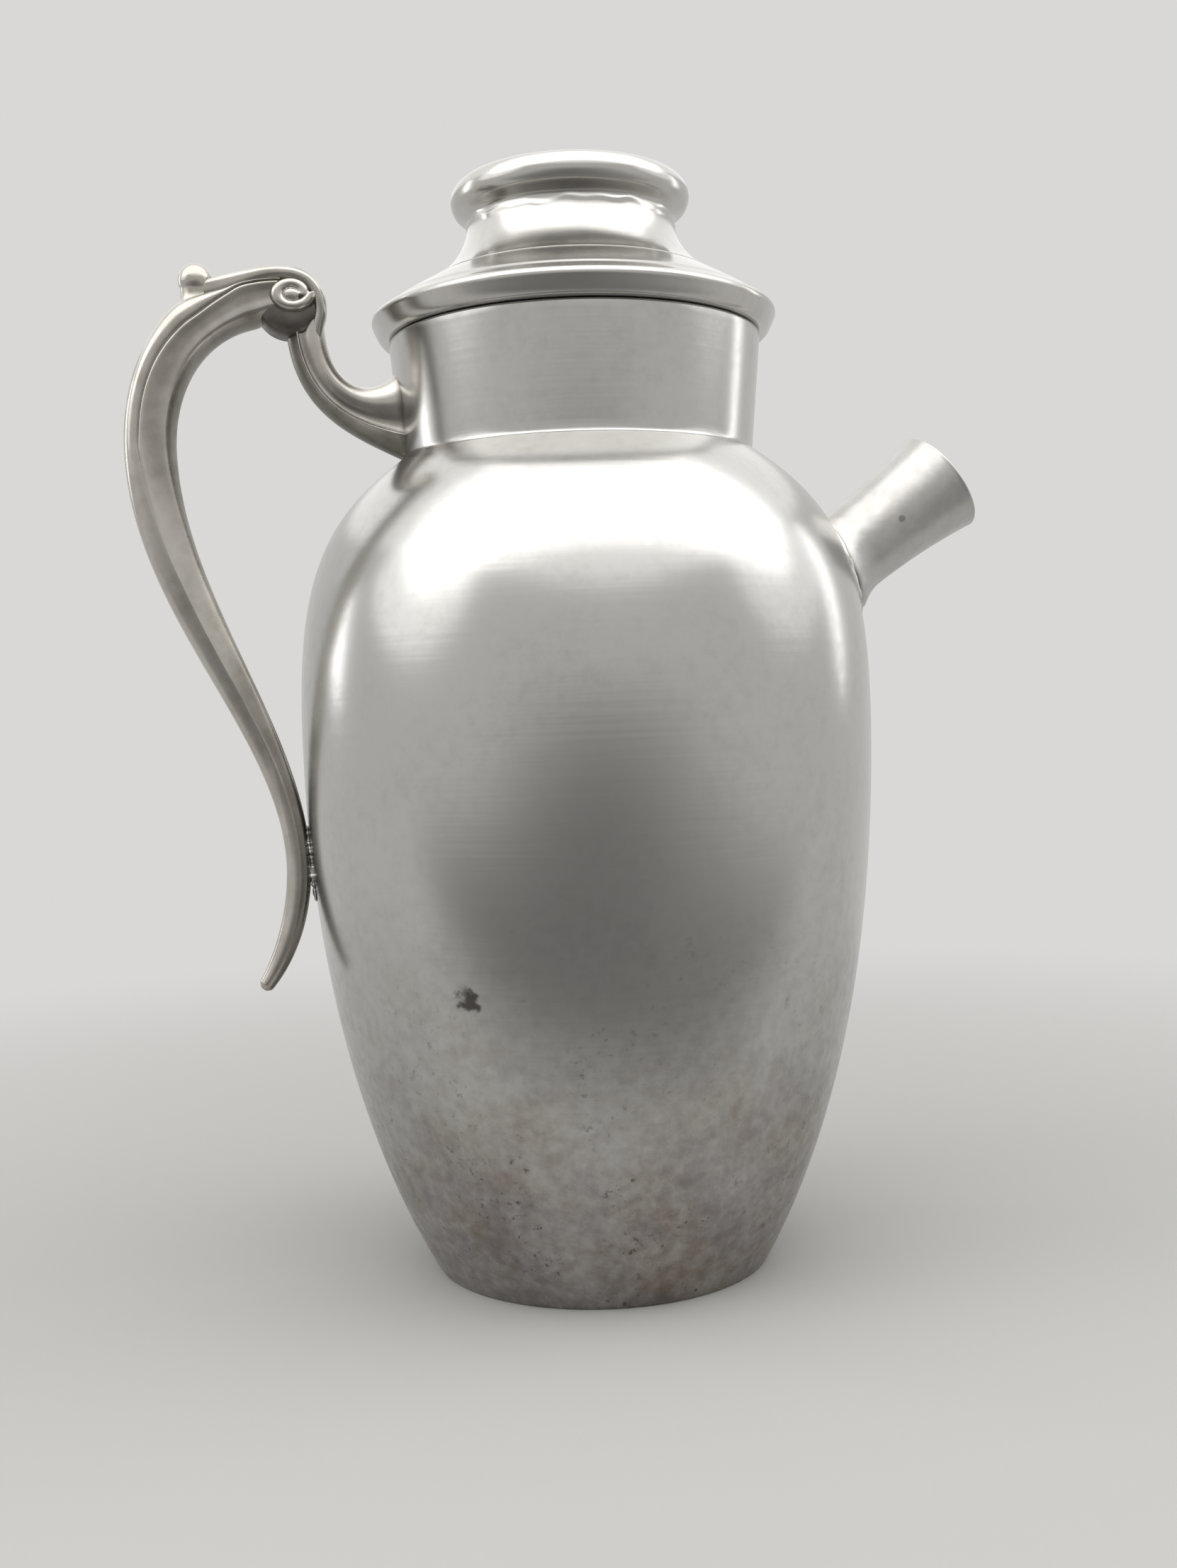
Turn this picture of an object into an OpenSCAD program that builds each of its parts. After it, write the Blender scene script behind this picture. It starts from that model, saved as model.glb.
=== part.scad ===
// Lidded pewter pouring jug: spun egg-shaped body, flared neck, lift-off lid,
// short trumpet spout with a strainer, and a cast scroll handle.
// Millimetres. Origin at the centre of the foot, +Z up, +X toward the spout.

/* [Body] */
// Outer radius of the edge that the jug stands on
foot_r = 40.4; // [36:0.2:46]
// Outer radius at the widest point of the belly
belly_r = 68.4; // [62:0.2:76]
// Height of the widest point of the belly
belly_z = 130; // [118:1:140]
// Lean of the wall at the foot, in degrees out from upright
foot_lean = 30; // [22:1:36]
// Height of the shoulder edge that carries the neck
shoulder_z = 194.2; // [186:0.2:206]
// Lean of the shoulder at the neck, in degrees in from upright
shoulder_lean = 55; // [48:1:60]
// Thickness of the spun body sheet
wall = 1.5; // [1.2:0.1:2]
// Width of the sheet turned in under the foot
foot_lip = 3; // [2.4:0.2:5]

/* [Base disc] */
// Thickness of the base disc
base_t = 1.5; // [1:0.1:2.5]
// Rise of the base disc at its middle
base_rise = 3; // [1:0.5:6]

/* [Neck] */
// Outer radius of the neck at its foot
neck_foot_r = 42; // [39:0.2:45]
// Outer radius of the neck at its mouth
neck_mouth_r = 44.5; // [42:0.1:47]
// Height of the neck from the shoulder to the mouth
neck_h = 28.2; // [22:0.2:36]
// Solder fillet round the foot of the neck
seam = 0.5; // [0.3:0.1:1]
// Rounding of the mouth's outer edge
mouth_round = 0.8; // [0.3:0.1:0.9]

/* [Spout] */
// Fall from the shoulder edge to where the spout's axis leaves the wall
spout_drop = 26.5; // [20:0.1:34]
// Rise of the spout's axis above level, in degrees
spout_tilt = 35.3; // [28:0.1:42]
// Length of the spout along its axis, from the wall to the mouth
spout_len = 36.2; // [28:0.2:50]
// Outer radius at the spout's mouth
spout_mouth_r = 13.3; // [12:0.1:16]
// Outer radius at the spout's waist
spout_waist_r = 10.8; // [10:0.1:13]
// Outer radius of the spout's flared root where its axis meets the wall
spout_root_r = 13.2; // [12.6:0.1:16]
// Distance of the waist from the wall
spout_waist_at = 9; // [7:0.5:14]
// Thickness of the spout's wall
spout_wall = 1.3; // [1:0.1:1.8]

/* [Strainer] */
// Thickness of the strainer disc
strainer_t = 1; // [0.6:0.1:1.6]
// Clear distance between the strainer and the wall where the wall stands out most
strainer_gap = 1.4; // [0.6:0.1:2.4]
// Width of the ledge that the strainer seats on
strainer_ledge = 0.8; // [0.5:0.1:1.1]
// Radius of one strainer hole
strainer_hole_r = 1.1; // [0.7:0.1:1.3]
// Pitch of the strainer holes
strainer_pitch = 3.6; // [3:0.1:4]
// Rings of strainer holes around the middle one
strainer_rings = 2; // [1:1:2]

/* [Lid] */
// Thickness of the spun lid sheet
lid_wall = 1.2; // [0.9:0.1:1.5]
// Reach of the lid's rolled rim past the neck's mouth
rim_out = 3.9; // [2.8:0.1:6]
// Height of the rolled rim's nose above the mouth
rim_up = 4.4; // [3.8:0.1:6]
// Height of the flat land under the knob, above the mouth
land_up = 13.4; // [11.6:0.1:17]
// Outer radius of the knob's foot
knob_foot_r = 34; // [30:0.1:36]
// Depth of the upright edge round the knob's foot
knob_step = 0.4; // [0.3:0.1:1]
// Outer radius of the knob's waist
knob_waist_r = 24.9; // [22:0.1:27.5]
// Height of the knob from its foot to the top of its bead
knob_h = 24.1; // [20:0.1:28]
// Radius of the bead round the knob's top
bead_r = 4.2; // [3.4:0.1:4.8]
// Depth that the lid's sleeve reaches into the neck
sleeve_depth = 15; // [8:0.5:20]
// Clearance between the sleeve and the neck
sleeve_gap = 0.3; // [0.2:0.05:0.6]
// Thickness of the sleeve
sleeve_wall = 1.1; // [0.8:0.1:1.6]
// Rise of the top disc at its middle
top_rise = 2; // [0.5:0.1:3]

/* [Handle] */
// Clear space between the belly's widest ring and the grip
finger_gap = 26; // [20:0.5:34]
// Height of the grip's outermost point below the mouth
grip_drop = 25.8; // [18:0.2:32]
// Thickness of the handle at the arch, seen from the side
arch_t = 13.6; // [12:0.1:16]
// Thickness of the grip, seen from the side
grip_t = 11.8; // [9:0.1:14]
// Thickness of the handle at the lower joint, seen from the side
low_t = 5.7; // [5:0.1:8]
// Thickness of the tail's tip, seen from the side
tip_t = 3.3; // [2.4:0.1:4.4]
// Width of the grip, across the hand
grip_w = 11.6; // [9:0.1:15]
// Width of the handle at the lower joint
low_w = 6.4; // [5:0.1:9]
// Height of the lower joint on the body
lug_z = 99; // [88:1:110]
// Length of the lower joint along the body
lug_h = 13; // [10:0.5:20]
// Gap between the handle and the body that the lower joint fills
lug_gap = 0.5; // [0.2:0.1:3]
// Fall of the tail's tip below the lower joint
tail_drop = 28.6; // [20:0.2:36]
// Reach of the tail's tip out from the lower joint
tail_out = 9.2; // [5:0.2:14]
// Reach of the volute's centre out from the neck's mouth
volute_out = 23; // [20:0.1:28]
// Height of the volute's centre above the mouth
volute_up = 7.9; // [5:0.1:11]
// Radius of the volute's drum
volute_r = 8.1; // [6.8:0.1:9.2]
// Width of the volute's drum, across the hand
volute_w = 12.6; // [10:0.1:15]
// Outer radius of the raised curl on the volute
curl_r = 5; // [4:0.1:6]
// Thickness of the raised curl
curl_t = 2; // [1.4:0.1:2.6]
// Turns of the raised curl
curl_turns = 1.3; // [1:0.1:1.8]
// Radius of the thumb ball
ball_r = 3.9; // [3:0.1:5]
// Reach of the thumb ball out from the volute's centre
ball_out = 21.9; // [17:0.1:25]
// Height of the thumb ball above the volute's centre
ball_up = 5.1; // [4:0.1:7.5]
// Thickness of the S-shaped arm, seen from the side
arm_t = 8.8; // [7:0.1:11]
// Width of the arm
arm_w = 9.6; // [7:0.1:12]
// Height of the arm's flared root on the neck
root_h = 22.4; // [14:0.2:24]
// Height of the root's middle above the shoulder
root_up = 10.3; // [8.4:0.1:12]

/* [Hidden] */

$fn = 96;
PEWTER = [0.62, 0.62, 0.60];
PEWTER_CAST = [0.54, 0.53, 0.50];
PEWTER_LID = [0.66, 0.66, 0.65];

// Steps along one curve of a spun profile
curve_steps = 20;
// Overlap of a cutting solid past the face it cuts
past = 1;
// Small play between parts that are soldered side by side
solder_gap = 0.05;

// Points and curves

function unit(v) = v / norm(v);
function mix(a, b, t) = a + (b - a) * t;
function ease(t) = t * t * (3 - 2 * t);
function heading(angle) = [cos(angle), sin(angle)];
function reversed(list) = [for (i = [len(list) - 1:-1:0]) list[i]];
function after_first(list) = [for (i = [1:len(list) - 1]) list[i]];

// Point on a cubic curve with four control points
function bezier(p, t) = p[0] * pow(1 - t, 3) + p[1] * 3 * t * pow(1 - t, 2)
                      + p[2] * 3 * t * t * (1 - t) + p[3] * pow(t, 3);
function bezier_points(p, n) = [for (i = [0:n]) bezier(p, i / n)];

// Direction of a chain of points at one of them
function along(pts, i) = unit(pts[min(i + 1, len(pts) - 1)] - pts[max(i - 1, 0)]);
// The chain moved by w to the left of its direction
function beside(pts, w) = [for (i = [0:len(pts) - 1])
    let (d = along(pts, i)) pts[i] + w * [-d.y, d.x]];
// Outline of a sheet of thickness w to the left of a chain of points
function sheet(pts, w) = concat(pts, reversed(beside(pts, w)));

module revolve(outline) {
    rotate_extrude() polygon(outline);
}

// Body profile: two curves that share an upright tangent at the belly

shoulder_r = neck_foot_r + seam;
shoulder_rise = shoulder_z - belly_z;
foot_pull = 0.30 * belly_z;
belly_pull_down = 0.37 * belly_z;
belly_pull_up = 0.56 * shoulder_rise;
shoulder_pull = 0.37 * shoulder_rise;

lower_curve = [[foot_r, 0],
               [foot_r, 0] + foot_pull * heading(90 - foot_lean),
               [belly_r, belly_z - belly_pull_down],
               [belly_r, belly_z]];
upper_curve = [[belly_r, belly_z],
               [belly_r, belly_z + belly_pull_up],
               [shoulder_r, shoulder_z] - shoulder_pull * heading(90 + shoulder_lean),
               [shoulder_r, shoulder_z]];
body_path = concat(bezier_points(lower_curve, curve_steps),
                   after_first(bezier_points(upper_curve, curve_steps)));

// Outer radius of the body at a height, found on its profile by halving
function param_at(p, z, lo = 0, hi = 1, n = 24) =
    n == 0 ? (lo + hi) / 2
    : let (m = (lo + hi) / 2)
      bezier(p, m).y < z ? param_at(p, z, m, hi, n - 1) : param_at(p, z, lo, m, n - 1);
function body_r(z) = z < belly_z ? bezier(lower_curve, param_at(lower_curve, z)).x
                                 : bezier(upper_curve, param_at(upper_curve, z)).x;

// Body shell, foot to shoulder, with the port behind the spout

foot_in_r = foot_r - foot_lip;
// Inner radius of the leaning wall on top of the turned-in foot
base_seat_r = foot_r + wall * tan(foot_lean) - wall / cos(foot_lean);
neck_in_foot_r = neck_foot_r - wall;

module body_solid() {
    revolve(concat([[0, 0]], body_path, [[0, shoulder_z]]));
}

module body_shell() {
    inner = [for (p = beside(body_path, wall)) if (p.y > wall + past && p.y < shoulder_z - wall) p];
    color(PEWTER) difference() {
        revolve(concat([[foot_in_r, 0]], body_path, [[neck_in_foot_r, shoulder_z]],
                       reversed(inner), [[base_seat_r, wall], [foot_in_r, wall]]));
        on_spout() translate([0, 0, -spout_waist_at]) cylinder(r = bore_r, h = 2 * spout_waist_at);
    }
}

// Base disc, dished upward, resting on the turned-in foot

module base_disc() {
    edge = base_seat_r - solder_gap;
    flat = foot_in_r - base_t;
    under = concat([for (i = [0:curve_steps])
        [flat * i / curve_steps, wall + base_rise * (1 + cos(180 * i / curve_steps)) / 2]],
        [[edge, wall]]);
    over = [for (p = under) p + [0, base_t]];
    color(PEWTER) revolve(concat(under, reversed(over)));
}

// Neck collar, seated on the shoulder edge

mouth_z = shoulder_z + neck_h;
neck_in_mouth_r = neck_mouth_r - wall;
function neck_r(z) = mix(neck_foot_r, neck_mouth_r, (z - shoulder_z) / neck_h);
function neck_in_r(z) = neck_r(z) - wall;

module neck_collar() {
    corner = [neck_mouth_r - mouth_round, mouth_z - mouth_round];
    color(PEWTER) revolve(concat(
        [[neck_in_foot_r, shoulder_z], [shoulder_r, shoulder_z],
         [neck_r(shoulder_z + seam), shoulder_z + seam]],
        [for (a = [0:15:90]) corner + mouth_round * heading(a)],
        [[neck_in_mouth_r, mouth_z]]));
}

// Spout: a trumpet with a flared root that follows the body's wall

spout_z = shoulder_z - spout_drop;
bore_r = spout_waist_r - spout_wall;
strainer_r = bore_r + strainer_ledge;
// How far the wall at the strainer's upper edge reaches out along the spout's axis
strainer_top_z = spout_z + strainer_r * cos(spout_tilt);
wall_reach = [body_r(strainer_top_z) - body_r(spout_z), strainer_top_z - spout_z] * heading(spout_tilt);
// Distance of the strainer's outer face from the wall along the spout's axis
strainer_at = wall_reach + strainer_gap + strainer_t;

module on_spout() {
    translate([body_r(spout_z), 0, spout_z]) rotate([0, 90 - spout_tilt, 0]) children();
}

// Outer radius of the spout at a distance from the wall along its axis
function spout_r(s) = s > spout_waist_at
    ? mix(spout_waist_r, spout_mouth_r, pow((s - spout_waist_at) / (spout_len - spout_waist_at), 2))
    : mix(spout_waist_r, spout_root_r, pow(1 - s / spout_waist_at, 2));

module spout_tube() {
    root = -spout_waist_at / 2;
    outside = [for (i = [0:curve_steps]) let (s = mix(root, spout_len, i / curve_steps)) [spout_r(s), s]];
    bore = [for (i = [0:curve_steps / 2])
        let (s = mix(spout_waist_at, spout_len, 2 * i / curve_steps)) [spout_r(s) - spout_wall, s]];
    seat_r = strainer_r + solder_gap;
    color(PEWTER) difference() {
        on_spout() revolve(concat(outside, reversed(bore),
            [[bore_r, strainer_at], [seat_r, strainer_at], [seat_r, root]]));
        body_solid();
    }
}

// Strainer disc, seated on the ledge in the spout's root

module strainer_disc() {
    color(PEWTER) on_spout() translate([0, 0, strainer_at - strainer_t]) difference() {
        cylinder(r = strainer_r, h = strainer_t);
        for (ring = [0:strainer_rings])
            for (i = [0:max(6 * ring, 1) - 1])
                rotate(i * 60 / max(ring, 1)) translate([ring * strainer_pitch, 0, -past])
                    cylinder(r = strainer_hole_r, h = strainer_t + 2 * past, $fn = 24);
    }
}

// Lid flange: land, sloping skirt, rolled rim and the flat return that rests on the mouth

land_z = mouth_z + land_up;
land_r = knob_foot_r + lid_wall / 2;
knob_in_r = knob_foot_r - 2 * lid_wall;
rim_z = mouth_z + rim_up;
rim_r = neck_mouth_r + rim_out;
return_out_r = neck_mouth_r + mouth_round;
sleeve_mouth_r = neck_in_mouth_r - sleeve_gap;
rim_reach = rim_r - return_out_r;
// Rounding of the rim's nose, a little more than the sheet so that its inside stays round
nose_r = 1.2 * lid_wall;
nose_centre = [rim_r - nose_r, rim_z];
// The skirt bows out of its straight line by this angle at both ends
skirt_bow = 2.5;
land_edge = [land_r, land_z];
skirt_lean = atan2(land_z - rim_z - nose_r * cos(skirt_bow), rim_r - nose_r - land_r);
nose_from = 90 - skirt_lean - skirt_bow;
nose_to = -25;
skirt_end = nose_centre + nose_r * heading(nose_from);
skirt_pull = norm(skirt_end - land_edge) / 3;
roll_start = nose_centre + nose_r * heading(nose_to);

skirt_curve = [land_edge, land_edge + skirt_pull * heading(skirt_bow - skirt_lean),
               skirt_end - skirt_pull * heading(-skirt_lean - skirt_bow), skirt_end];
roll_curve = [roll_start, roll_start + 0.4 * rim_up * heading(nose_to - 90),
              [return_out_r + 0.5 * rim_reach, mouth_z], [return_out_r, mouth_z]];

module lid_flange() {
    nose = [for (i = [1:5]) nose_centre + nose_r * heading(mix(nose_from, nose_to, i / 5))];
    top = concat([[knob_in_r, land_z]], bezier_points(skirt_curve, curve_steps), nose,
                 after_first(bezier_points(roll_curve, curve_steps)), [[sleeve_mouth_r, mouth_z]]);
    color(PEWTER_LID) revolve(sheet(top, -lid_wall));
}

// Lid sleeve: a tapered ring inside the neck, its flange lying on the rim's flat return

sleeve_top_z = mouth_z + lid_wall;
sleeve_foot_z = mouth_z - sleeve_depth;

module lid_sleeve() {
    foot_out_r = neck_in_r(sleeve_foot_z) - sleeve_gap;
    color(PEWTER_LID) revolve([
        [foot_out_r - sleeve_wall, sleeve_foot_z],
        [foot_out_r, sleeve_foot_z],
        [sleeve_mouth_r - solder_gap, mouth_z],
        [sleeve_mouth_r - solder_gap, sleeve_top_z],
        [return_out_r - lid_wall, sleeve_top_z],
        [return_out_r - lid_wall, sleeve_top_z + sleeve_wall],
        [sleeve_mouth_r - sleeve_wall, sleeve_top_z + sleeve_wall]]);
}

// Lid knob: coved foot, drawn-in waist and a wired bead that frames the top disc

bead_z = land_z + knob_h - bead_r;
bead_ring_r = knob_waist_r - 0.12 * bead_r;
knob_lip_z = land_z + knob_step;
knob_waist_z = bead_z - 1.3 * bead_r;
knob_drum_r = knob_waist_r - lid_wall;
top_seat_z = bead_z + 0.2 * bead_r;
top_seat_r = knob_drum_r - 0.3 * bead_r;

cove_curve = [[knob_foot_r, knob_lip_z],
              [mix(knob_foot_r, knob_waist_r, 0.52), mix(knob_lip_z, knob_waist_z, 0.19)],
              [knob_waist_r, mix(knob_lip_z, knob_waist_z, 0.59)],
              [knob_waist_r, knob_waist_z]];

module lid_knob() {
    cove = bezier_points(cove_curve, curve_steps);
    inner = [for (p = beside(cove, lid_wall)) if (p.y > knob_lip_z) p];
    color(PEWTER_LID) difference() {
        union() {
            revolve(concat([[knob_in_r, land_z], [knob_foot_r, land_z]], cove,
                [[knob_waist_r, bead_z], [knob_drum_r, bead_z]],
                reversed(inner), [[knob_in_r, knob_lip_z]]));
            rotate_extrude() translate([bead_ring_r, bead_z]) circle(r = bead_r);
        }
        translate([0, 0, top_seat_z]) cylinder(r = knob_drum_r + solder_gap, h = 2 * bead_r);
    }
}

// Top disc: a shallow dome dropped onto the ledge inside the bead

module lid_top_disc() {
    under = concat([for (i = [0:curve_steps])
        [top_seat_r * i / curve_steps, top_seat_z + top_rise * (1 - pow(i / curve_steps, 2))]],
        [[knob_drum_r, top_seat_z]]);
    over = [for (p = under) p + [0, lid_wall]];
    color(PEWTER_LID) revolve(concat(under, reversed(over)));
}

// Handle: one casting, drawn as curves in the XZ plane with a changing section

volute = [-(neck_mouth_r + volute_out), mouth_z + volute_up];
thumb_ball = volute + [-ball_out, ball_up];
arch_start = volute + [-0.25, 0.2] * volute_r;
grip_point = [-(belly_r + finger_gap + grip_t / 2), mouth_z - grip_drop];
lug_point = [-(body_r(lug_z) + lug_gap + low_t / 2), lug_z];
tail_tip = lug_point - [tail_out, tail_drop];
root_point = [-neck_r(shoulder_z + root_up), shoulder_z + root_up];
arm_start = volute + [0.42, -0.5] * volute_r;

arch_span = arch_start - grip_point;
back_fall = grip_point.y - lug_point.y;
arm_span = root_point - arm_start;

arch_curve = [arch_start, arch_start - [0.66 * arch_span.x, 0],
              grip_point + [0, 0.52 * arch_span.y], grip_point];
back_curve = [grip_point, grip_point - [0, 0.37 * back_fall],
              lug_point + [0, 0.33 * back_fall], lug_point];
tail_curve = [lug_point, lug_point - [0, 0.38 * tail_drop],
              tail_tip + [0.6 * tail_out, 0.25 * tail_drop], tail_tip];
arm_curve = [arm_start, arm_start + [0, 0.62 * arm_span.y],
             root_point - [0.66 * arm_span.x, -0.06 * arm_span.y],
             root_point + [wall, 0]];

// A station is [centre, thickness, width, share of the thickness outside the ridge]
sweep_steps = 16;
function stations(curve, t0, t1, w0, w1, k0, k1, n) = [for (i = [0:n]) let (t = i / n)
    [bezier(curve, t), mix(t0, t1, ease(t)), mix(w0, w1, ease(t)), mix(k0, k1, t)]];

grip_stations = concat(
    stations(arch_curve, arch_t, grip_t, volute_w, grip_w, 0.40, 0.30, sweep_steps),
    after_first(stations(back_curve, grip_t, low_t, grip_w, low_w, 0.30, 0.48, 2 * sweep_steps)),
    [for (i = [1:sweep_steps]) let (t = i / sweep_steps, fall = pow(t, 2.5))
        [bezier(tail_curve, t), mix(low_t, tip_t, fall), mix(low_w, tip_t, fall), 0.48]]);

arm_stations = [for (i = [0:sweep_steps]) let (t = i / sweep_steps)
    [bezier(arm_curve, t), arm_t + (root_h - arm_t) * pow(t, 5), arm_w, 0.34]];

// Section sides and how full its two halves are: 2 is an ellipse, 1 a diamond
section_sides = 16;
outer_fullness = 1.9;
inner_fullness = 1.6;

function power(v, e) = sign(v) * pow(abs(v), e);
// Ring of points round a station, square to the path, widest along the ridge
function section_ring(st, d) = let (p = st[0], t = st[1], out = [d.y, -d.x])
    [for (i = [0:section_sides - 1]) let (
        a = 360 * i / section_sides,
        e = 2 / (sin(a) > 0 ? outer_fullness : inner_fullness),
        depth = sin(a) > 0 ? t * st[3] : t * (1 - st[3]),
        ridge = t * (0.5 - st[3]),
        n = ridge + depth * power(sin(a), e))
        [p.x + out.x * n, st[2] / 2 * power(cos(a), e), p.y + out.y * n]];

// Solid swept through stations, closed by flat ends
module sweep(list) {
    n = len(list);
    m = section_sides;
    centres = [for (st = list) st[0]];
    pts = [for (i = [0:n - 1]) each section_ring(list[i], along(centres, i))];
    sides = [for (i = [0:n - 2], j = [0:m - 1]) let (
        a = i * m + j,
        b = i * m + (j + 1) % m) each [[a, b, a + m], [b, b + m, a + m]]];
    first = [for (j = [m - 1:-1:0]) j];
    last = [for (j = [0:m - 1]) (n - 1) * m + j];
    polyhedron(points = pts, faces = concat(sides, [first, last]));
}

module at(p, y = 0) {
    translate([p.x, y, p.y]) children();
}

// Raised curl on one face of the drum: a chain of balls that winds in to an eye
curl_steps = 18;
curl_centre = volute + [0.06, 0.11] * volute_r;
curl_start = -25;
function curl_point(t) = curl_centre
    + mix(curl_r - curl_t / 2, curl_t / 2, pow(t, 1.5)) * heading(curl_start - 360 * curl_turns * t);

module curl(side) {
    y = side * volute_w / 2;
    for (i = [0:curl_steps - 1])
        hull()
            for (t = [i / curl_steps, (i + 1) / curl_steps])
                at(curl_point(t), y) sphere(d = mix(curl_t, 1.4 * curl_t, t), $fn = 10);
}

// Drum of the volute, its edges well rounded
drum_fullness = 4;
module volute_drum() {
    at(volute) rotate([90, 0, 0]) rotate_extrude($fn = 48) polygon([for (i = [0:20]) let (a = 9 * i - 90)
        [volute_r * power(cos(a), 2 / drum_fullness), volute_w / 2 * power(sin(a), 2 / drum_fullness)]]);
    for (side = [-1, 1]) curl(side);
}

// Thumb ball on a short tongue that lies along the top of the arch
module thumb_rest() {
    at(thumb_ball) sphere(r = ball_r, $fn = 28);
    hull() {
        at(thumb_ball + [0, -0.25 * ball_r]) sphere(r = 0.6 * ball_r, $fn = 20);
        at(mix(thumb_ball, arch_start, 0.55) + [0, -0.1 * ball_r]) sphere(r = 0.6 * ball_r, $fn = 20);
    }
}

// Pad that joins the lower end of the handle to the body
module lug() {
    for (side = [-1, 1])
        hull()
            for (x = [lug_point.x, -body_r(lug_z) + wall])
                translate([x, 0, lug_z + side * (lug_h - low_w) / 4])
                    scale([0.01, 0.7, 1]) sphere(d = (lug_h + low_w) / 2, $fn = 24);
}

module handle() {
    color(PEWTER_CAST) difference() {
        union() {
            sweep(grip_stations);
            sweep(arm_stations);
            volute_drum();
            thumb_rest();
            lug();
        }
        body_solid();
        translate([0, 0, shoulder_z])
            cylinder(r1 = neck_foot_r, r2 = neck_mouth_r, h = neck_h);
    }
}

body_shell();
base_disc();
neck_collar();
spout_tube();
strainer_disc();
handle();
lid_flange();
lid_knob();
lid_top_disc();
lid_sleeve();
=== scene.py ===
"""Dresses the packed pewter jug: spun body, neck and spout, cast scroll handle, lid and stage."""

import math

import bpy
import numpy as np
from bpy.props import FloatProperty, FloatVectorProperty, PointerProperty
from mathutils import Matrix, Vector


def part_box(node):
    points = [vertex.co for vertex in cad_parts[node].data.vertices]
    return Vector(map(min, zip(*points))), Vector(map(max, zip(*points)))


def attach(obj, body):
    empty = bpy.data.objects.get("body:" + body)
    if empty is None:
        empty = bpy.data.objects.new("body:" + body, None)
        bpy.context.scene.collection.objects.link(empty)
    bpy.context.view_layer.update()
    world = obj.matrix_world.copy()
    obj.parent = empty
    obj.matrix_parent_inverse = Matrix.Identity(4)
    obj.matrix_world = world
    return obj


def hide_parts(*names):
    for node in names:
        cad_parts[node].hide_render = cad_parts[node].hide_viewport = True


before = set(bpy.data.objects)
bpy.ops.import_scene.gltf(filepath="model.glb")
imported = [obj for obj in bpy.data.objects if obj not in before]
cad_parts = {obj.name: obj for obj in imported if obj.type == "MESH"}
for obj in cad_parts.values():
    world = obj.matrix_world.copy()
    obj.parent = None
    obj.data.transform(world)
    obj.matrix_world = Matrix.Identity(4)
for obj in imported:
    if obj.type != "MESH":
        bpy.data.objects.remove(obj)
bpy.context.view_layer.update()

bl_info = {
    "name": "Lidded pewter jug",
    "version": (1, 0, 0),
    "blender": (4, 5, 0),
    "location": "3D View > Sidebar > Pewter Jug",
    "description": "Builds a spun and cast pewter jug with a lift-off lid around its packed solids",
    "category": "Add Mesh",
}

MM = 0.001

# Corners of the packed solids that set the main sizes
BODY_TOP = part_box("body_shell")[1]
NECK_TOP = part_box("neck_collar")[1]
RIM_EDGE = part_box("lid_flange")[1]
KNOB_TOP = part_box("lid_knob")[1]

# Columns round a turned piece, and the spacing of its rows along the profile
COLUMNS = 192
ROW_STEP = 1.2 * MM

# Hair's breadth between the faces of two sheets that meet, so that they never fall together
HAIR = 0.05 * MM


# Values that a user may change

def length(name, description, metres):
    """A distance with its default in metres."""
    return FloatProperty(name=name, description=description, default=metres,
                         subtype="DISTANCE", unit="LENGTH")


def lean(name, description, degrees):
    """An angle with its default in degrees."""
    return FloatProperty(name=name, description=description, default=math.radians(degrees),
                         subtype="ANGLE", unit="ROTATION")


def spot(name, description, out, up):
    """A point in the plane of the handle, with its default in metres along X and Z."""
    return FloatVectorProperty(name=name, description=description, default=(out, up), size=2,
                               subtype="XYZ", unit="LENGTH")


def power(name, description, watts):
    """A lamp's power with its default in watts."""
    return FloatProperty(name=name, description=description, default=watts, min=0.0, unit="POWER")


def linear(code):
    """Turns an sRGB hex colour into linear red, green and blue: a straight line near black, and
    above it the power 2.4."""
    srgb = np.array([int(code[i:i + 2], 16) for i in (1, 3, 5)]) / 255
    return tuple(np.where(srgb <= 0.04045, srgb / 12.92, ((srgb + 0.055) / 1.055) ** 2.4).tolist())


def colour(name, description, code):
    """A colour with its default as an sRGB hex value."""
    return FloatVectorProperty(name=name, description=description, default=linear(code),
                               subtype="COLOR", size=3, min=0.0, max=1.0)


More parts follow.
